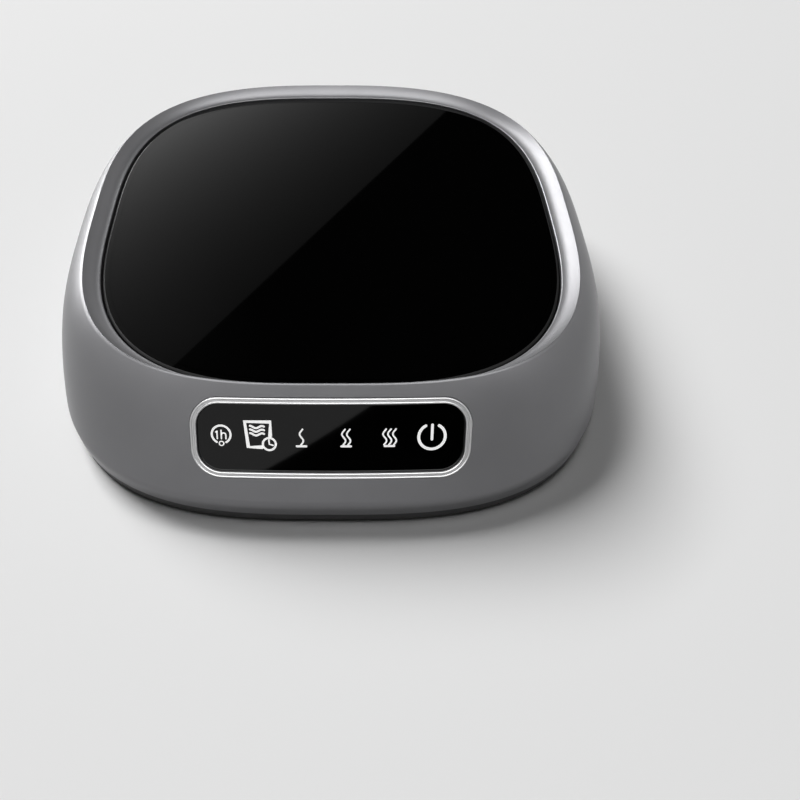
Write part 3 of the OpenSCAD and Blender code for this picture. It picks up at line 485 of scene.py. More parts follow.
# %% Lens
LENS_CLEAR = 0.1
LENS_W, LENS_H = RING_W - 2 * RING_FACE - 2 * LENS_CLEAR, RING_H - 2 * RING_FACE - 2 * LENS_CLEAR
LENS_R = RING_R - RING_FACE - LENS_CLEAR
LENS_EDGE = ((0.0, 0.15), (0.06, 0.03))
LENS_ROWS = (0.2, 0.3, 0.6, 1.2, 2.4)
lens_stations = closed_face(LENS_R, -POCKET_DEPTH) + [(0.0, -POCKET_DEPTH, 1.0)]
lens_stations += [(inset, -LENS_SINK - drop, 1.0) for inset, drop in LENS_EDGE]
lens_stations += [(inset, -LENS_SINK, 1.0) for inset in LENS_ROWS]
lens_stations += list(reversed(closed_face(LENS_R, -LENS_SINK)))
lens_mesh = panel_loft(LENS_W, LENS_H, LENS_R, lens_stations, closed=False)
touch_lens = finish_mesh(lens_mesh, "touch_lens", CRISP_DEG)
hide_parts("panel_lens")
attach(touch_lens, "housing")
print("touch_lens faces", len(touch_lens.data.polygons))

# %% [markdown]
# The signs are a timer mark, a cup with a clock, three heat levels and a power mark. Text objects or traced
# curves could draw them, but they are simple line work, so each is a set of pen strokes: a stroke is a strip
# of flat faces along its path with a half disc at each end. All strokes of a sign are then laid on the slope,
# a hair above the lens.

# %% Drawing with a pen
PRINT_PROUD = 0.015
PRINT_HEIGHT = -LENS_SINK + PRINT_PROUD
CAP_STEPS = 6
WISP_TURNS, WISP_LAG = 1.16, 0.05


def stroke(bm, path, width):
    """A flat stroke with round ends along a path of (x, y) points, in millimetres."""
    points = [Vector((x, y, 0)) for x, y in path]
    row = None
    for i, point in enumerate(points):
        ahead = (points[min(i + 1, len(points) - 1)] - points[max(i - 1, 0)]).normalized()
        across = Vector((-ahead.y, ahead.x, 0)) * width / 2
        pair = [bm.verts.new(point + across), bm.verts.new(point - across)]
        if row:
            bmesh.ops.contextual_create(bm, geom=[*row, *pair])
        row = pair
    for point, beyond in ((points[0], points[0] - points[1]), (points[-1], points[-1] - points[-2])):
        start = math.atan2(beyond.y, beyond.x) - math.pi / 2
        turns = [start + math.pi * i / CAP_STEPS for i in range(CAP_STEPS + 1)]
        cap = [bm.verts.new(point + Vector((math.cos(t), math.sin(t), 0)) * width / 2) for t in turns]
        bmesh.ops.contextual_create(bm, geom=cap)


def arc(x, y, r, start_deg, end_deg, steps=48):
    """Points of an arc, turning from one angle to the other."""
    turns = [math.radians(mix(start_deg, end_deg, i / steps)) for i in range(steps + 1)]
    return [(x + r * math.cos(t), y + r * math.sin(t)) for t in turns]


def wave(x, y0, y1, sway, steps=20):
    """A rising wisp of steam between two heights."""
    shares = [i / steps for i in range(steps + 1)]
    turns = [2 * math.pi * (WISP_TURNS * s - WISP_LAG) for s in shares]
    return [(x + sway * math.sin(turn), mix(y0, y1, s)) for turn, s in zip(turns, shares)]


print("pen ends have", CAP_STEPS, "steps")

# %% [markdown]
# Each sign's place is measured from the middle of the ring, in millimetres, so the signs line up with the
# light cells behind them. Round parts are arcs and wisps are a sine, and only the corners are written out. A
# PEN is the width of a stroke.

# %% The six signs
SIGN_X = [-22.0, -14.65, -5.9, 3.03, 11.72, 20.23]
TIMER_Y, TIMER_R, BUTTON_DROP, BUTTON_R = 0.6, 1.9, 1.93, 0.46
FIGURE_FOOT, ARCH_R = 0.92, 0.44
TIMER_PEN, BUTTON_PEN, FIGURE_PEN = 0.42, 0.24, 0.28
CUP_TOP, CUP_FOOT = 3.44, -1.96
WAVE_LEVELS, WAVE_W, WAVE_SWAY, WAVE_BENDS, WAVE_STEPS = (2.34, 1.57, 0.78), 2.8, 0.24, 2.35, 24
CLOCK_X, CLOCK_Y, CLOCK_R = -12.36, -1.27, 1.3
CUP_PEN, WAVE_PEN, CLOCK_PEN, HAND_PEN = 0.78, 0.42, 0.42, 0.32
HEAT_BASE, HEAT_TOP, HEAT_HALF = -1.66, 1.96, 0.95
WISP_PITCH, WISP_RISE, WISP_SWAY = 0.98, 0.3, 0.37
HEAT_PEN, WISP_PEN = 0.44, 0.33
POWER_Y, POWER_R, POWER_TOP, POWER_END = 0.2, 2.68, 2.5, 0.6
POWER_PEN, POWER_BAR_PEN = 0.58, 0.54


def timer_sign(bm):
    """A ring that is open at the foot, a small button in the gap, and 1 h for one hour."""
    x, y = SIGN_X[0], TIMER_Y
    foot = y - FIGURE_FOOT
    stroke(bm, arc(x, y, TIMER_R, 300, 600), TIMER_PEN)
    stroke(bm, arc(x, y - BUTTON_DROP, BUTTON_R, 0, 360), BUTTON_PEN)
    stroke(bm, [(x - 1.08, y + 0.48), (x - 0.82, y + 0.76), (x - 0.82, foot)], FIGURE_PEN)
    stroke(bm, [(x + 0.02, y + 0.9), (x + 0.02, foot)], FIGURE_PEN)
    stroke(bm, arc(x + 0.5, y - 0.1, ARCH_R, 170, 0, 16) + [(x + 0.94, foot)], FIGURE_PEN)


def cup_sign(bm):
    """A cup that narrows to its foot, three waves in it, and a clock over its corner."""
    x = SIGN_X[1]
    rim = [(x + 2.5, 0.5), (x + 2.58, CUP_TOP), (x - 2.53, CUP_TOP)]
    stroke(bm, rim + [(x - 1.94, CUP_FOOT), (x + 0.75, CUP_FOOT)], CUP_PEN)
    for level in WAVE_LEVELS:
        along = [x - 1.5 + WAVE_W * i / WAVE_STEPS for i in range(WAVE_STEPS + 1)]
        sway = [WAVE_SWAY * math.cos(math.pi * WAVE_BENDS * i / WAVE_STEPS) for i in range(WAVE_STEPS + 1)]
        stroke(bm, [(px, level + lift) for px, lift in zip(along, sway)], WAVE_PEN)
    stroke(bm, arc(CLOCK_X, CLOCK_Y, CLOCK_R, 0, 360), CLOCK_PEN)
    hands = [(CLOCK_X - 0.05, CLOCK_Y + 0.9), (CLOCK_X, CLOCK_Y - 0.02), (CLOCK_X + 0.75, CLOCK_Y - 0.25)]
    stroke(bm, hands, HAND_PEN)


def heat_sign(bm, x, level):
    """A base line with as many wisps as the heat level."""
    stroke(bm, [(x - HEAT_HALF, HEAT_BASE), (x + HEAT_HALF, HEAT_BASE)], HEAT_PEN)
    for i in range(level):
        wisp_x = x + (i - (level - 1) / 2) * WISP_PITCH
        stroke(bm, wave(wisp_x, HEAT_BASE + WISP_RISE, HEAT_TOP, WISP_SWAY), WISP_PEN)


def power_sign(bm):
    """A ring that is open at the top, with a bar in the gap."""
    x, y = SIGN_X[5], POWER_Y
    stroke(bm, arc(x, y, POWER_R, 120, 420), POWER_PEN)
    stroke(bm, [(x, y + POWER_TOP), (x, y - POWER_END)], POWER_BAR_PEN)


def printed(name, draw):
    """Draws one sign and lays it on the lens."""
    bm = bmesh.new()
    draw(bm)
    for vert in bm.verts:
        vert.co = on_slope(vert.co.x, vert.co.y, PRINT_HEIGHT)
    for face in bm.faces:
        face.normal_update()
    bmesh.ops.reverse_faces(bm, faces=[f for f in bm.faces if f.normal.y > 0])
    piece = as_object(bm, name)
    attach(piece, "housing")
    return piece


signs = [
    printed("sign_timer", timer_sign),
    printed("sign_cup", cup_sign),
    printed("sign_heat_low", lambda bm: heat_sign(bm, SIGN_X[2], 1)),
    printed("sign_heat_mid", lambda bm: heat_sign(bm, SIGN_X[3], 2)),
    printed("sign_heat_high", lambda bm: heat_sign(bm, SIGN_X[4], 3)),
    printed("sign_power", power_sign),
]
print("signs", [s.name for s in signs])

# %% [markdown]
# The return springs and the heater's leads reach from the housing to the plate, so they must shorten when the
# plate sinks. Each is a copy of its CAD mesh in the CAD piece's place, and it is not yet tied to the housing
# or the plate. The CAD mesh is loose triangles, so the copy is merged first, or it would be shaded flat.

# %% Springs and leads copied from the CAD
SAME_CAD_POINT = 1e-6


def carried_copy(node, name):
    """A cleaned copy of a CAD piece's mesh, as a piece of its own."""
    bm = bmesh.new()
    bm.from_mesh(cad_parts[node].data)
    bmesh.ops.remove_doubles(bm, verts=bm.verts, dist=SAME_CAD_POINT)
    for face in bm.faces:
        face.smooth = True
    return as_object(bm, name)


def stretch_to_plate(node, name):
    """Stands for a CAD piece with a copy in its place, and hides the CAD piece."""
    piece = carried_copy(node, name)
    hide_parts(node)
    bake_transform(piece)
    return piece


spring_coils = stretch_to_plate("return_springs", "spring_coils")
heater_wires = stretch_to_plate("heater_leads", "heater_wires")
print("follow the plate:", spring_coils.name, heater_wires.name)

# %% [markdown]
# Colours are written as sRGB hex values, which one function turns into the linear values that shaders use.
# One small function adds a node with its settings and its links.

# %% Colour and node helpers
def colour(code):
    """An sRGB hex colour as a linear RGBA value."""
    parts = [int(code[i : i + 2], 16) / 255 for i in (1, 3, 5)]
    return (*[p / 12.92 if p <= 0.04045 else ((p + 0.055) / 1.055) ** 2.4 for p in parts], 1.0)


def add(tree, kind, links=(), **settings):
    """Adds a node: links join its sockets to others, the rest are its properties or socket values."""
    node = tree.nodes.new(kind)
    for key, value in settings.items():
        if hasattr(node, key):
            setattr(node, key, value)
        else:
            node.inputs[key.replace("_", " ")].default_value = value
    for socket, source in links:
        tree.links.new(source, node.inputs[socket])
    return node


def surface(name, **values):
    """A new material with one Principled shader, and its node tree."""
    material = bpy.data.materials.new(name)
    material.use_nodes = True
    shader = material.node_tree.nodes["Principled BSDF"]
    for key, value in values.items():
        shader.inputs[key.replace("_", " ")].default_value = value
    return material, material.node_tree, shader


def object_points(tree, grain_mm):
    """Object coordinates scaled so that one unit is one grain of the finish."""
    place = add(tree, "ShaderNodeTexCoord")
    links = [("Vector", place.outputs["Object"])]
    return add(tree, "ShaderNodeMapping", links, Scale=(1 / (grain_mm * MM),) * 3).outputs["Vector"]


def patterned(tree, shader, patch, tones, grain, roughs, bump, depth_mm):
    """A slow pattern moves the colour between two tones, and a fine one moves the shine and the height."""
    blend = add(tree, "ShaderNodeMix", [("Factor", patch)], data_type="RGBA")
    blend.inputs[6].default_value, blend.inputs[7].default_value = (colour(tone) for tone in tones)
    tree.links.new(blend.outputs[2], shader.inputs["Base Color"])
    shine = add(tree, "ShaderNodeMapRange", [("Value", grain)], To_Min=roughs[0], To_Max=roughs[1])
    tree.links.new(shine.outputs["Result"], shader.inputs["Roughness"])
    relief = add(tree, "ShaderNodeBump", [("Height", grain)], Strength=bump, Distance=depth_mm * MM)
    tree.links.new(relief.outputs["Normal"], shader.inputs["Normal"])


print("helpers ready")

# %% [markdown]
# Most moulded, cast and drawn finishes differ in colour, shine and grain alone. One function makes such a
# finish: a fine noise of the grain's real size moves the colour and the roughness a little and lifts the
# surface by a few micrometres, which is what keeps plastic and metal from looking like a flat fill.

# %% Grained finishes
PATCH_SCALE = 0.06
GRAIN_BUMP = 0.35


def grained(name, tone, tone_2, rough, grain_mm, depth_mm=0.004, spread=0.06, **values):
    """A finish whose colour and roughness wander over grains of a real size."""
    material, tree, shader = surface(name, **values)
    points = object_points(tree, grain_mm)
    noise = add(tree, "ShaderNodeTexNoise", [("Vector", points)], Scale=1.0, Detail=3.0, Roughness=0.55)
    patch = add(tree, "ShaderNodeTexNoise", [("Vector", points)], Scale=PATCH_SCALE, Detail=2.0)
    roughs = (rough - spread, rough + spread)
    patterned(
        tree, shader, patch.outputs["Fac"], (tone, tone_2), noise.outputs["Fac"], roughs, GRAIN_BUMP, depth_mm
    )
    return material


print("grained finish ready")

# %% [markdown]
# The housing is ABS sprayed with a metallic grey lacquer: fine aluminium flakes under a satin clear coat. The
# flakes give it a soft sheen that follows the light, with a darker edge where the slope turns away. Real
# flakes are some 0.03 mm across, and they are drawn at 0.12 mm so that they show as a faint sparkle.

# %% Metallic lacquer
FLAKE_MM, HAZE_MM = 0.12, 9.0
FLAKE_BUMP, FLAKE_DEPTH_MM = 0.12, 0.01


def metallic_lacquer():
    """Grey lacquer with flakes that vary its shine and a haze that varies its tone."""
    material, tree, shader = surface(
        "metallic_grey_lacquer", Metallic=0.78, Coat_Weight=0.25, Coat_Roughness=0.28
    )
    flakes = add(tree, "ShaderNodeTexVoronoi", [("Vector", object_points(tree, FLAKE_MM))], Scale=1.0)
    haze = add(tree, "ShaderNodeTexNoise", [("Vector", object_points(tree, HAZE_MM))], Scale=1.0, Detail=2.0)
    tones, roughs = ("#6d6d6f", "#737375"), (0.42, 0.5)
    flake = flakes.outputs["Distance"]
    patterned(tree, shader, haze.outputs["Fac"], tones, flake, roughs, FLAKE_BUMP, FLAKE_DEPTH_MM)
    return material


housing_shell.data.materials.clear()
housing_shell.data.materials.append(metallic_lacquer())
print("housing finish", housing_shell.data.materials[0].name)

# %% [markdown]
# The plate is soda-lime glass with a black fired back, so it is a near-black body under a hard mirror-like
# face. The black goes round the ground edge, which stays dark and dull. The lens is acrylic, black behind.
# Clear glass over a black sheet would be truer, but looks the same, because no light comes back through it.

# %% Black glass and black acrylic
FILM_MM, FILM_ROUGH = 14.0, 0.012
TOP_NORMAL_Z = 0.98


def black_gloss(name, tone, rough, ior):
    """A near-black body under a hard gloss, with the faint film that hands leave."""
    material, tree, shader = surface(name, Base_Color=colour(tone), IOR=ior)
    film = add(tree, "ShaderNodeTexNoise", [("Vector", object_points(tree, FILM_MM))], Scale=1.0, Detail=2.0)
    most = rough + FILM_ROUGH
    shine = add(tree, "ShaderNodeMapRange", [("Value", film.outputs["Fac"])], To_Min=rough, To_Max=most)
    tree.links.new(shine.outputs["Result"], shader.inputs["Roughness"])
    return material


glass_pane.data.materials.append(black_gloss("black_fired_glass", "#020202", 0.02, 1.52))
ground = grained("ground_glass_edge", "#060606", "#090909", 0.6, 0.3, Specular_IOR_Level=0.2)
glass_pane.data.materials.append(ground)
for face in glass_pane.data.polygons:
    face.material_index = 0 if abs(face.normal.z) > TOP_NORMAL_Z else 1
touch_lens.data.materials.append(black_gloss("black_acrylic", "#040404", 0.03, 1.49))
print("ground faces", sum(f.material_index for f in glass_pane.data.polygons))

# %% [markdown]
# The ring is plated ABS with a satin finish, close to brushed aluminium in colour. The signs are white print
# that LEDs light from behind. A lamp behind a clear gap would do the same with far more to render, so the
# print itself glows a little.

# %% Satin plating and lit print
PRINT_GLOW = 0.6
satin_plating = grained("satin_plated_trim", "#bebebe", "#b5b5b6", 0.4, 0.25, 0.002, 0.05, Metallic=1.0)
lit_print = grained(
    "lit_white_print", "#f4f4f2", "#ececea", 0.45, 0.2, 0.002,
    Emission_Color=colour("#ffffff"), Emission_Strength=PRINT_GLOW,
)
trim_ring.data.materials.append(satin_plating)
for sign in signs:
    sign.data.materials.append(lit_print)
print("ring and print done")

# %% [markdown]
# The pieces that keep their CAD mesh get finishes too. Each line of the table names a real finish, its two
# tones, its roughness and its grain in millimetres, and the pieces that wear it. A material written out for
# each would repeat the same nodes two dozen times.

# %% Finishes of the other pieces
METAL = {"Metallic": 1.0}
FINISHES = [
    ("textured_black_abs", "#191919", "#1e1e1f", 0.55, 0.35, {}, ["base_cover"]),
    ("soft_black_rubber", "#1a1a1a", "#222222", 0.8, 0.5, {}, ["rubber_feet", "cord_gland"]),
    ("dark_filled_nylon", "#242426", "#2c2c2e", 0.6, 0.4, {}, ["plate_carrier"]),
    ("white_reflector_plastic", "#ecebe6", "#e2e1dc", 0.5, 0.4, {}, ["light_box"]),
    ("green_solder_mask", "#0f4a2a", "#155634", 0.35, 0.6, {}, ["touch_board", "main_board"]),
    ("clear_yellow_resin", "#efe4a0", "#e6d98e", 0.15, 0.5, {}, ["panel_leds"]),
    ("drawn_spring_steel", "#b5b5b6", "#a6a6a8", 0.3, 0.15, METAL, ["touch_springs", "sensor_clip"]),
    ("rolled_spring_steel", "#bcbcbc", "#adadae", 0.32, 0.2, METAL, ["switch_lever"]),
    ("zinc_plated_steel", "#b4b6b8", "#a2a5a8", 0.35, 0.3, METAL,
     ["touch_board_screws", "switch_screws", "board_screws", "base_screws"]),
    ("red_silicone", "#6e1c14", "#7c241a", 0.6, 0.5, {}, ["glass_adhesive"]),
    ("rolled_aluminium", "#c8c9ca", "#b9babc", 0.35, 0.3, METAL, ["heat_spreader"]),
    ("etched_resistance_foil", "#b79a5a", "#a88a4c", 0.35, 0.3, METAL, ["heating_element"]),
    ("mica_board", "#a99468", "#8f7b52", 0.45, 1.2, {}, ["mica_sheet"]),
    ("needled_fibre_felt", "#e4e1d8", "#cfcbc0", 0.95, 0.4, {}, ["insulation_pad"]),
    ("dipped_resin", "#4a2412", "#5a2e18", 0.25, 0.8, {}, ["temperature_sensor"]),
    ("glazed_white_ceramic", "#eeebe4", "#e4e0d8", 0.15, 0.6, {}, ["thermal_fuse"]),
    ("black_thermoset", "#1b1b1c", "#232324", 0.45, 0.4, {}, ["switch_body", "triac"]),
    ("red_acetal", "#a31f1a", "#b02a22", 0.35, 0.4, {}, ["switch_plunger"]),
    ("tinned_brass", "#c2b08a", "#b3a27c", 0.35, 0.3, METAL, ["switch_terminals", "fuse_clips"]),
    ("green_polyamide", "#2a7a46", "#338552", 0.5, 0.4, {}, ["terminal_block"]),
    ("yellow_box_film", "#c9a63a", "#bd9a30", 0.35, 0.6, {}, ["film_capacitor"]),
    ("blue_shrink_sleeve", "#152447", "#1b2c52", 0.3, 0.6, {}, ["smoothing_capacitor"]),
    ("grey_flat_vinyl", "#9a9a9c", "#8c8c8e", 0.5, 0.6, {}, ["ribbon_cable"]),
    ("blue_vinyl_insulation", "#1d4a96", "#23529f", 0.4, 0.5, {}, ["switch_leads"]),
]


def dress(nodes, material):
    """Gives one finish to some CAD pieces."""
    for name in nodes:
        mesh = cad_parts[name].data
        mesh.materials.clear()
        mesh.materials.append(material)


for name, tone, tone_2, rough, grain_mm, values, nodes in FINISHES:
    dress(nodes, grained(name, tone, tone_2, rough, grain_mm, **values))
spring_coils.data.materials.clear()
spring_coils.data.materials.append(bpy.data.materials["drawn_spring_steel"])
heater_wires.data.materials.clear()
heater_wires.data.materials.append(grained("white_silicone_lead", "#e6e4df", "#d9d7d2", 0.6, 0.6))
print("finishes", len(FINISHES))

# %% [markdown]
# The small fuse on the board is a glass tube, so it is the one piece that light passes through.

# %% Clear fuse glass
FUSE_HAZE_MM = 2.0


def fuse_glass():
    """Clear glass with a faint haze."""
    material, tree, shader = surface("clear_fuse_glass", IOR=1.5, Transmission_Weight=0.85, Roughness=0.05)
    haze = add(tree, "ShaderNodeTexNoise", [("Vector", object_points(tree, FUSE_HAZE_MM))], Scale=1.0)
    tone = add(tree, "ShaderNodeMix", [("Factor", haze.outputs["Fac"])], data_type="RGBA")
    tone.inputs[6].default_value, tone.inputs[7].default_value = colour("#dfe8ea"), colour("#eef4f5")
    tree.links.new(tone.outputs[2], shader.inputs["Base Color"])
    return material


dress(["glass_fuse"], fuse_glass())
bare = [n for n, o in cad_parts.items() if not o.hide_render and not o.data.materials]
print("pieces without a finish", bare)

# %% [markdown]
# The floor is a plain sheet of pale paper that only scatters light, so it keeps the object's soft shadow and
# throws a little light back under the walls. A shadow catcher would hide the floor, but then that light would
# be missing.

# %% Floor
FLOOR_SIZE = 6.0


def stage_sheet(name, size, place=Matrix.Identity(4)):
    """A flat sheet of the stage, size in metres, laid where the matrix puts it."""
    bm = bmesh.new()
    bmesh.ops.create_grid(bm, x_segments=1, y_segments=1, size=0.5)
    bmesh.ops.scale(bm, vec=(size[0], size[1], 1), verts=bm.verts)
    bmesh.ops.transform(bm, matrix=place, verts=bm.verts)
    sheet = as_object(bm, name)
    material = bpy.data.materials.new(name + "_finish")
    material.use_nodes = True
    material.node_tree.nodes.clear()
    sheet.data.materials.append(material)
    return sheet, material.node_tree


paper_tree = stage_sheet("floor", (FLOOR_SIZE, FLOOR_SIZE))[1]
paper = add(paper_tree, "ShaderNodeBsdfDiffuse", Color=colour("#e9e9e9"))
add(paper_tree, "ShaderNodeOutputMaterial", [("Surface", paper.outputs[0])])
print("floor", FLOOR_SIZE, "m")

# %% [markdown]
# The camera stands in front of the panel and looks steeply down. Its place and lens were worked out from the
# outline of the glass, the rim and the foot, and a small sideways shift frames the object.

# %% Camera
CAMERA_AT = Vector((0.0, -0.1355, 0.143))
PITCH_DOWN = 53.23
FOCAL_PX, IMAGE_PX, MIDDLE_PX, SENSOR = 744.7, 800, 331, 36.0
camera = bpy.data.objects.new("camera", bpy.data.cameras.new("camera"))
camera.data.sensor_width = SENSOR
camera.data.lens = FOCAL_PX / IMAGE_PX * SENSOR
camera.data.shift_x = (IMAGE_PX / 2 - MIDDLE_PX) / IMAGE_PX
camera.data.clip_start = 0.01
camera.location = CAMERA_AT
camera.rotation_euler = (math.radians(90 - PITCH_DOWN), 0, 0)
bpy.context.scene.collection.objects.link(camera)
bpy.context.scene.camera = camera
print(f"lens {camera.data.lens:.1f} mm")

# %% [markdown]
# The light is that of a small studio. The key is a large soft box behind the left corner, some 44 degrees up:
# it throws the soft shadow to the front right. A weak box overhead lifts the shadow under the edges. Neither
# shows in gloss, because the glass would mirror them as bright squares, so sheets that only gloss meets stand
# in for them below. To rays that scatter, the world is nearly black, as a dark room is. The camera, gloss and
# clear glass see it pale, which gives the pale background without more light on the object.

# %% Lights
KEY_AZIMUTH, KEY_RISE, KEY_FAR = 40, 44, 4.4
KEY_SIZE, KEY_POWER = 2.1, 240
OVERHEAD_Y, OVERHEAD_H = -0.05, 0.9
OVERHEAD_SIZE, OVERHEAD_POWER = 0.3, 0.9
ROOM_STRENGTH = 0.03


def soft_box(name, at, aim, size, power):
    """A square area lamp that shines towards aim and that gloss does not show."""
    lamp = bpy.data.lights.new(name, "AREA")
    lamp.shape, lamp.size, lamp.size_y = "RECTANGLE", size, size
    lamp.energy = power
    box = bpy.data.objects.new(name, lamp)
    box.location = at
    box.rotation_euler = (Vector(aim) - Vector(at)).to_track_quat("-Z", "Y").to_euler()
    bpy.context.scene.collection.objects.link(box)
    box.visible_glossy = False


def from_sky(azimuth_deg, elevation_deg, distance):
    """A place seen from the object at an angle from +Y towards -X and at an elevation."""
    a, e = math.radians(azimuth_deg), math.radians(elevation_deg)
    return Vector((-math.sin(a) * math.cos(e), math.cos(a) * math.cos(e), math.sin(e))) * distance


soft_box("key_box", from_sky(KEY_AZIMUTH, KEY_RISE, KEY_FAR), (0, 0, 0), KEY_SIZE, KEY_POWER)
soft_box("overhead_box", (0, OVERHEAD_Y, OVERHEAD_H), (0, OVERHEAD_Y, 0), OVERHEAD_SIZE, OVERHEAD_POWER)

world = bpy.data.worlds.new("studio")
world.use_nodes = True
studio = world.node_tree
dark_room = studio.nodes["Background"]
dark_room.inputs["Color"].default_value = colour("#ffffff")
dark_room.inputs["Strength"].default_value = ROOM_STRENGTH
pale_room = add(studio, "ShaderNodeBackground", Color=colour("#e6e6e6"), Strength=1.0)
ray = add(studio, "ShaderNodeLightPath")
seen = ray.outputs["Is Camera Ray"]
for kind in ("Is Glossy Ray", "Is Transmission Ray"):
    seen = add(studio, "ShaderNodeMath", [(0, seen), (1, ray.outputs[kind])], operation="MAXIMUM").outputs[0]
links = [(0, seen), (1, dark_room.outputs[0]), (2, pale_room.outputs[0])]
both = add(studio, "ShaderNodeMixShader", links)
studio.links.new(both.outputs[0], studio.nodes["World Output"].inputs["Surface"])
bpy.context.scene.world = world
bpy.context.scene.view_settings.view_transform = "Standard"

# %% [markdown]
# Gloss shows what stands round it, so a product photographer hangs pale sheets and black cards about the
# object, and so does this cell. Photographs wrapped round the world would do the same with less control. Only
# mirror rays meet them, so they neither light nor shade the floor.
#
# A pale ceiling sheet lies where the glass mirrors it: it ends in a straight slanting edge and fades towards
# it, so the glass turns from grey at the upper left to black. A black card behind it keeps the pale room out
# of the rest of the glass.

# %% Sheets that the gloss mirrors
def only_in_gloss(sheet):
    """Lets mirror rays alone meet a sheet, so that it neither lights nor shades the floor."""
    sheet.visible_camera = sheet.visible_shadow = sheet.visible_diffuse = False


def glow_sheet(name, size, place, bright, fade):
    """A sheet of stage light that brightens by fade times per metre along its own Y."""
    sheet, tree = stage_sheet(name, size, place)
    spot = add(tree, "ShaderNodeTexCoord").outputs["Object"]
    turned = place.inverted().to_euler()
    back = place.inverted().translation
    local = add(tree, "ShaderNodeMapping", [("Vector", spot)], Rotation=turned, Location=back)
    along = add(tree, "ShaderNodeSeparateXYZ", [("Vector", local.outputs[0])]).outputs["Y"]
    power = add(tree, "ShaderNodeMath", [(0, along)], operation="MULTIPLY")
    power.inputs[1].default_value = fade
    grow_by = add(tree, "ShaderNodeMath", [(0, power.outputs[0])], operation="EXPONENT")
    share = add(tree, "ShaderNodeMath", [(0, grow_by.outputs[0])], operation="MULTIPLY")
    share.inputs[1].default_value = bright
    light = add(tree, "ShaderNodeEmission", [("Strength", share.outputs[0])])
    add(tree, "ShaderNodeOutputMaterial", [("Surface", light.outputs[0])])
    only_in_gloss(sheet)


def dark_card(name, size, place):
    """A black card that keeps the pale room out of the gloss."""
    sheet, tree = stage_sheet(name, size, place)
    black = add(tree, "ShaderNodeBsdfDiffuse", Color=colour("#060606"))
    add(tree, "ShaderNodeOutputMaterial", [("Surface", black.outputs[0])])
    only_in_gloss(sheet)


CEILING_H, CEILING_W, CEILING_L = 0.6, 0.42, 1.0
CEILING_GLOW, CEILING_FADE = 0.37, 7.6
CEILING_CARD_SIZE, CEILING_CARD_Y, CARD_BEHIND = (0.8, 0.9), 0.75, 0.02
GLOW_EDGE_NEAR, GLOW_EDGE_FAR = (-31.6, -39.5), (31.3, 50.4)
GLASS_Z = glass_high.z * MM
mirror_scale = (CEILING_H - GLASS_Z) / (CAMERA_AT.z - GLASS_Z)


def mirrored_on_ceiling(x, y):
    """Where the camera sees the ceiling when it looks at a point of the glass: millimetres in, metres out."""
    spot = Vector((x, y, GLASS_Z / MM)) * MM
    away = spot - CAMERA_AT
    return spot + Vector((away.x, away.y, -away.z)) * mirror_scale


edge_near, edge_far = mirrored_on_ceiling(*GLOW_EDGE_NEAR), mirrored_on_ceiling(*GLOW_EDGE_FAR)
edge_way = (edge_far - edge_near).normalized()
across = Vector((-edge_way.y, edge_way.x, 0))
middle = (edge_near + edge_far) / 2 + across * CEILING_W / 2
ceiling_place = Matrix.Translation(middle) @ Matrix((
    (edge_way.x, across.x, 0, 0), (edge_way.y, across.y, 0, 0), (0, 0, 1, 0), (0, 0, 0, 1),
))
glow_sheet("ceiling_glow", (CEILING_L, CEILING_W), ceiling_place, CEILING_GLOW, CEILING_FADE)
card_place = Matrix.Translation((0.0, CEILING_CARD_Y, CEILING_H + CARD_BEHIND))
dark_card("ceiling_card", CEILING_CARD_SIZE, card_place)
print("ceiling sheet at", [round(v, 2) for v in middle])

# %% [markdown]
# The lens looks to the front, so a second pale sheet stands there. It leans over, and the left part of the
# lens mirrors it up to its slanting edge. A black card behind it darkens the rest of the lens.

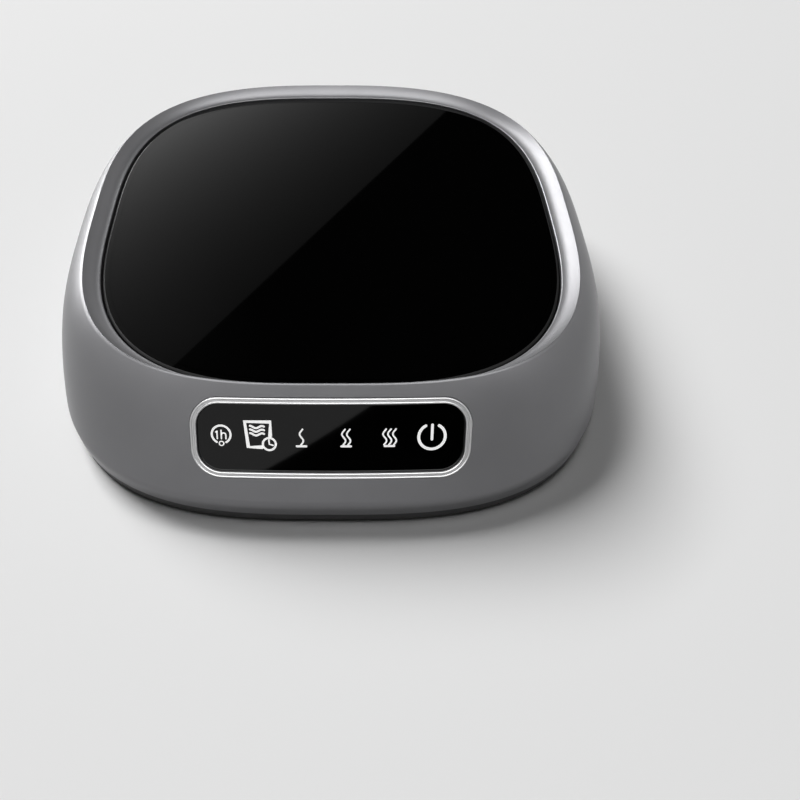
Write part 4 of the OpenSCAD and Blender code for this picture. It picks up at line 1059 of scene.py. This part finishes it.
# %% Sheets in front of the lens
FRONT_W, FRONT_H, FRONT_TILT, FRONT_GLOW = 0.6, 0.28, 20.6, 0.45
FRONT_EDGE, FRONT_LEFT = (-0.02, -0.6, 0.15), 0.1
FRONT_CARD_SIZE, FRONT_CARD_AT = (1.2, 0.42), (0.12, -0.64, 0.27)
STEADY = 0.0
upright = Matrix.Rotation(math.pi / 2, 4, "X")
front_place = (
    Matrix.Translation(FRONT_EDGE)
    @ Matrix.Rotation(math.radians(-FRONT_TILT), 4, "Y")
    @ upright
    @ Matrix.Translation((-FRONT_LEFT, FRONT_H / 2, 0))
)
glow_sheet("front_glow", (FRONT_W, FRONT_H), front_place, FRONT_GLOW, STEADY)
dark_card("front_card", FRONT_CARD_SIZE, Matrix.Translation(FRONT_CARD_AT) @ upright)
print("front sheet", FRONT_W, "x", FRONT_H, "m, tilted", FRONT_TILT, "degrees")

# %% [markdown]
# The lacquer and the ring are duller, so they need broad, bright sheets to show a clear highlight. One is high
# in front for the crest and the beads, one on the key's side for the bright dish on the right, and a low one
# for the upper left wall.

# %% Sheets that the lacquer and the ring show
TOP_SIZE, TOP_AT, TOP_GLOW = (1.5, 1.1), (0.0, -0.8, 0.95), 5.6
KEY_SHEET_SIZE, KEY_SHEET_RISE, KEY_SHEET_FAR, KEY_SHEET_GLOW = (1.3, 1.3), 36, 2.0, 13.0
SIDE_SIZE, SIDE_AZIMUTH, SIDE_RISE, SIDE_FAR, SIDE_GLOW = (0.9, 0.4), 44, 9, 1.6, 9.5


def facing_object(spot):
    """A sheet's place that turns it towards the middle of the stage."""
    return Matrix.Translation(spot) @ (-spot).to_track_quat("-Z", "Y").to_matrix().to_4x4()


key_place = facing_object(from_sky(KEY_AZIMUTH, KEY_SHEET_RISE, KEY_SHEET_FAR))
side_place = facing_object(from_sky(SIDE_AZIMUTH, SIDE_RISE, SIDE_FAR))
glow_sheet("top_glow", TOP_SIZE, Matrix.Translation(TOP_AT), TOP_GLOW, STEADY)
glow_sheet("key_glow", KEY_SHEET_SIZE, key_place, KEY_SHEET_GLOW, STEADY)
glow_sheet("side_glow", SIDE_SIZE, side_place, SIDE_GLOW, STEADY)
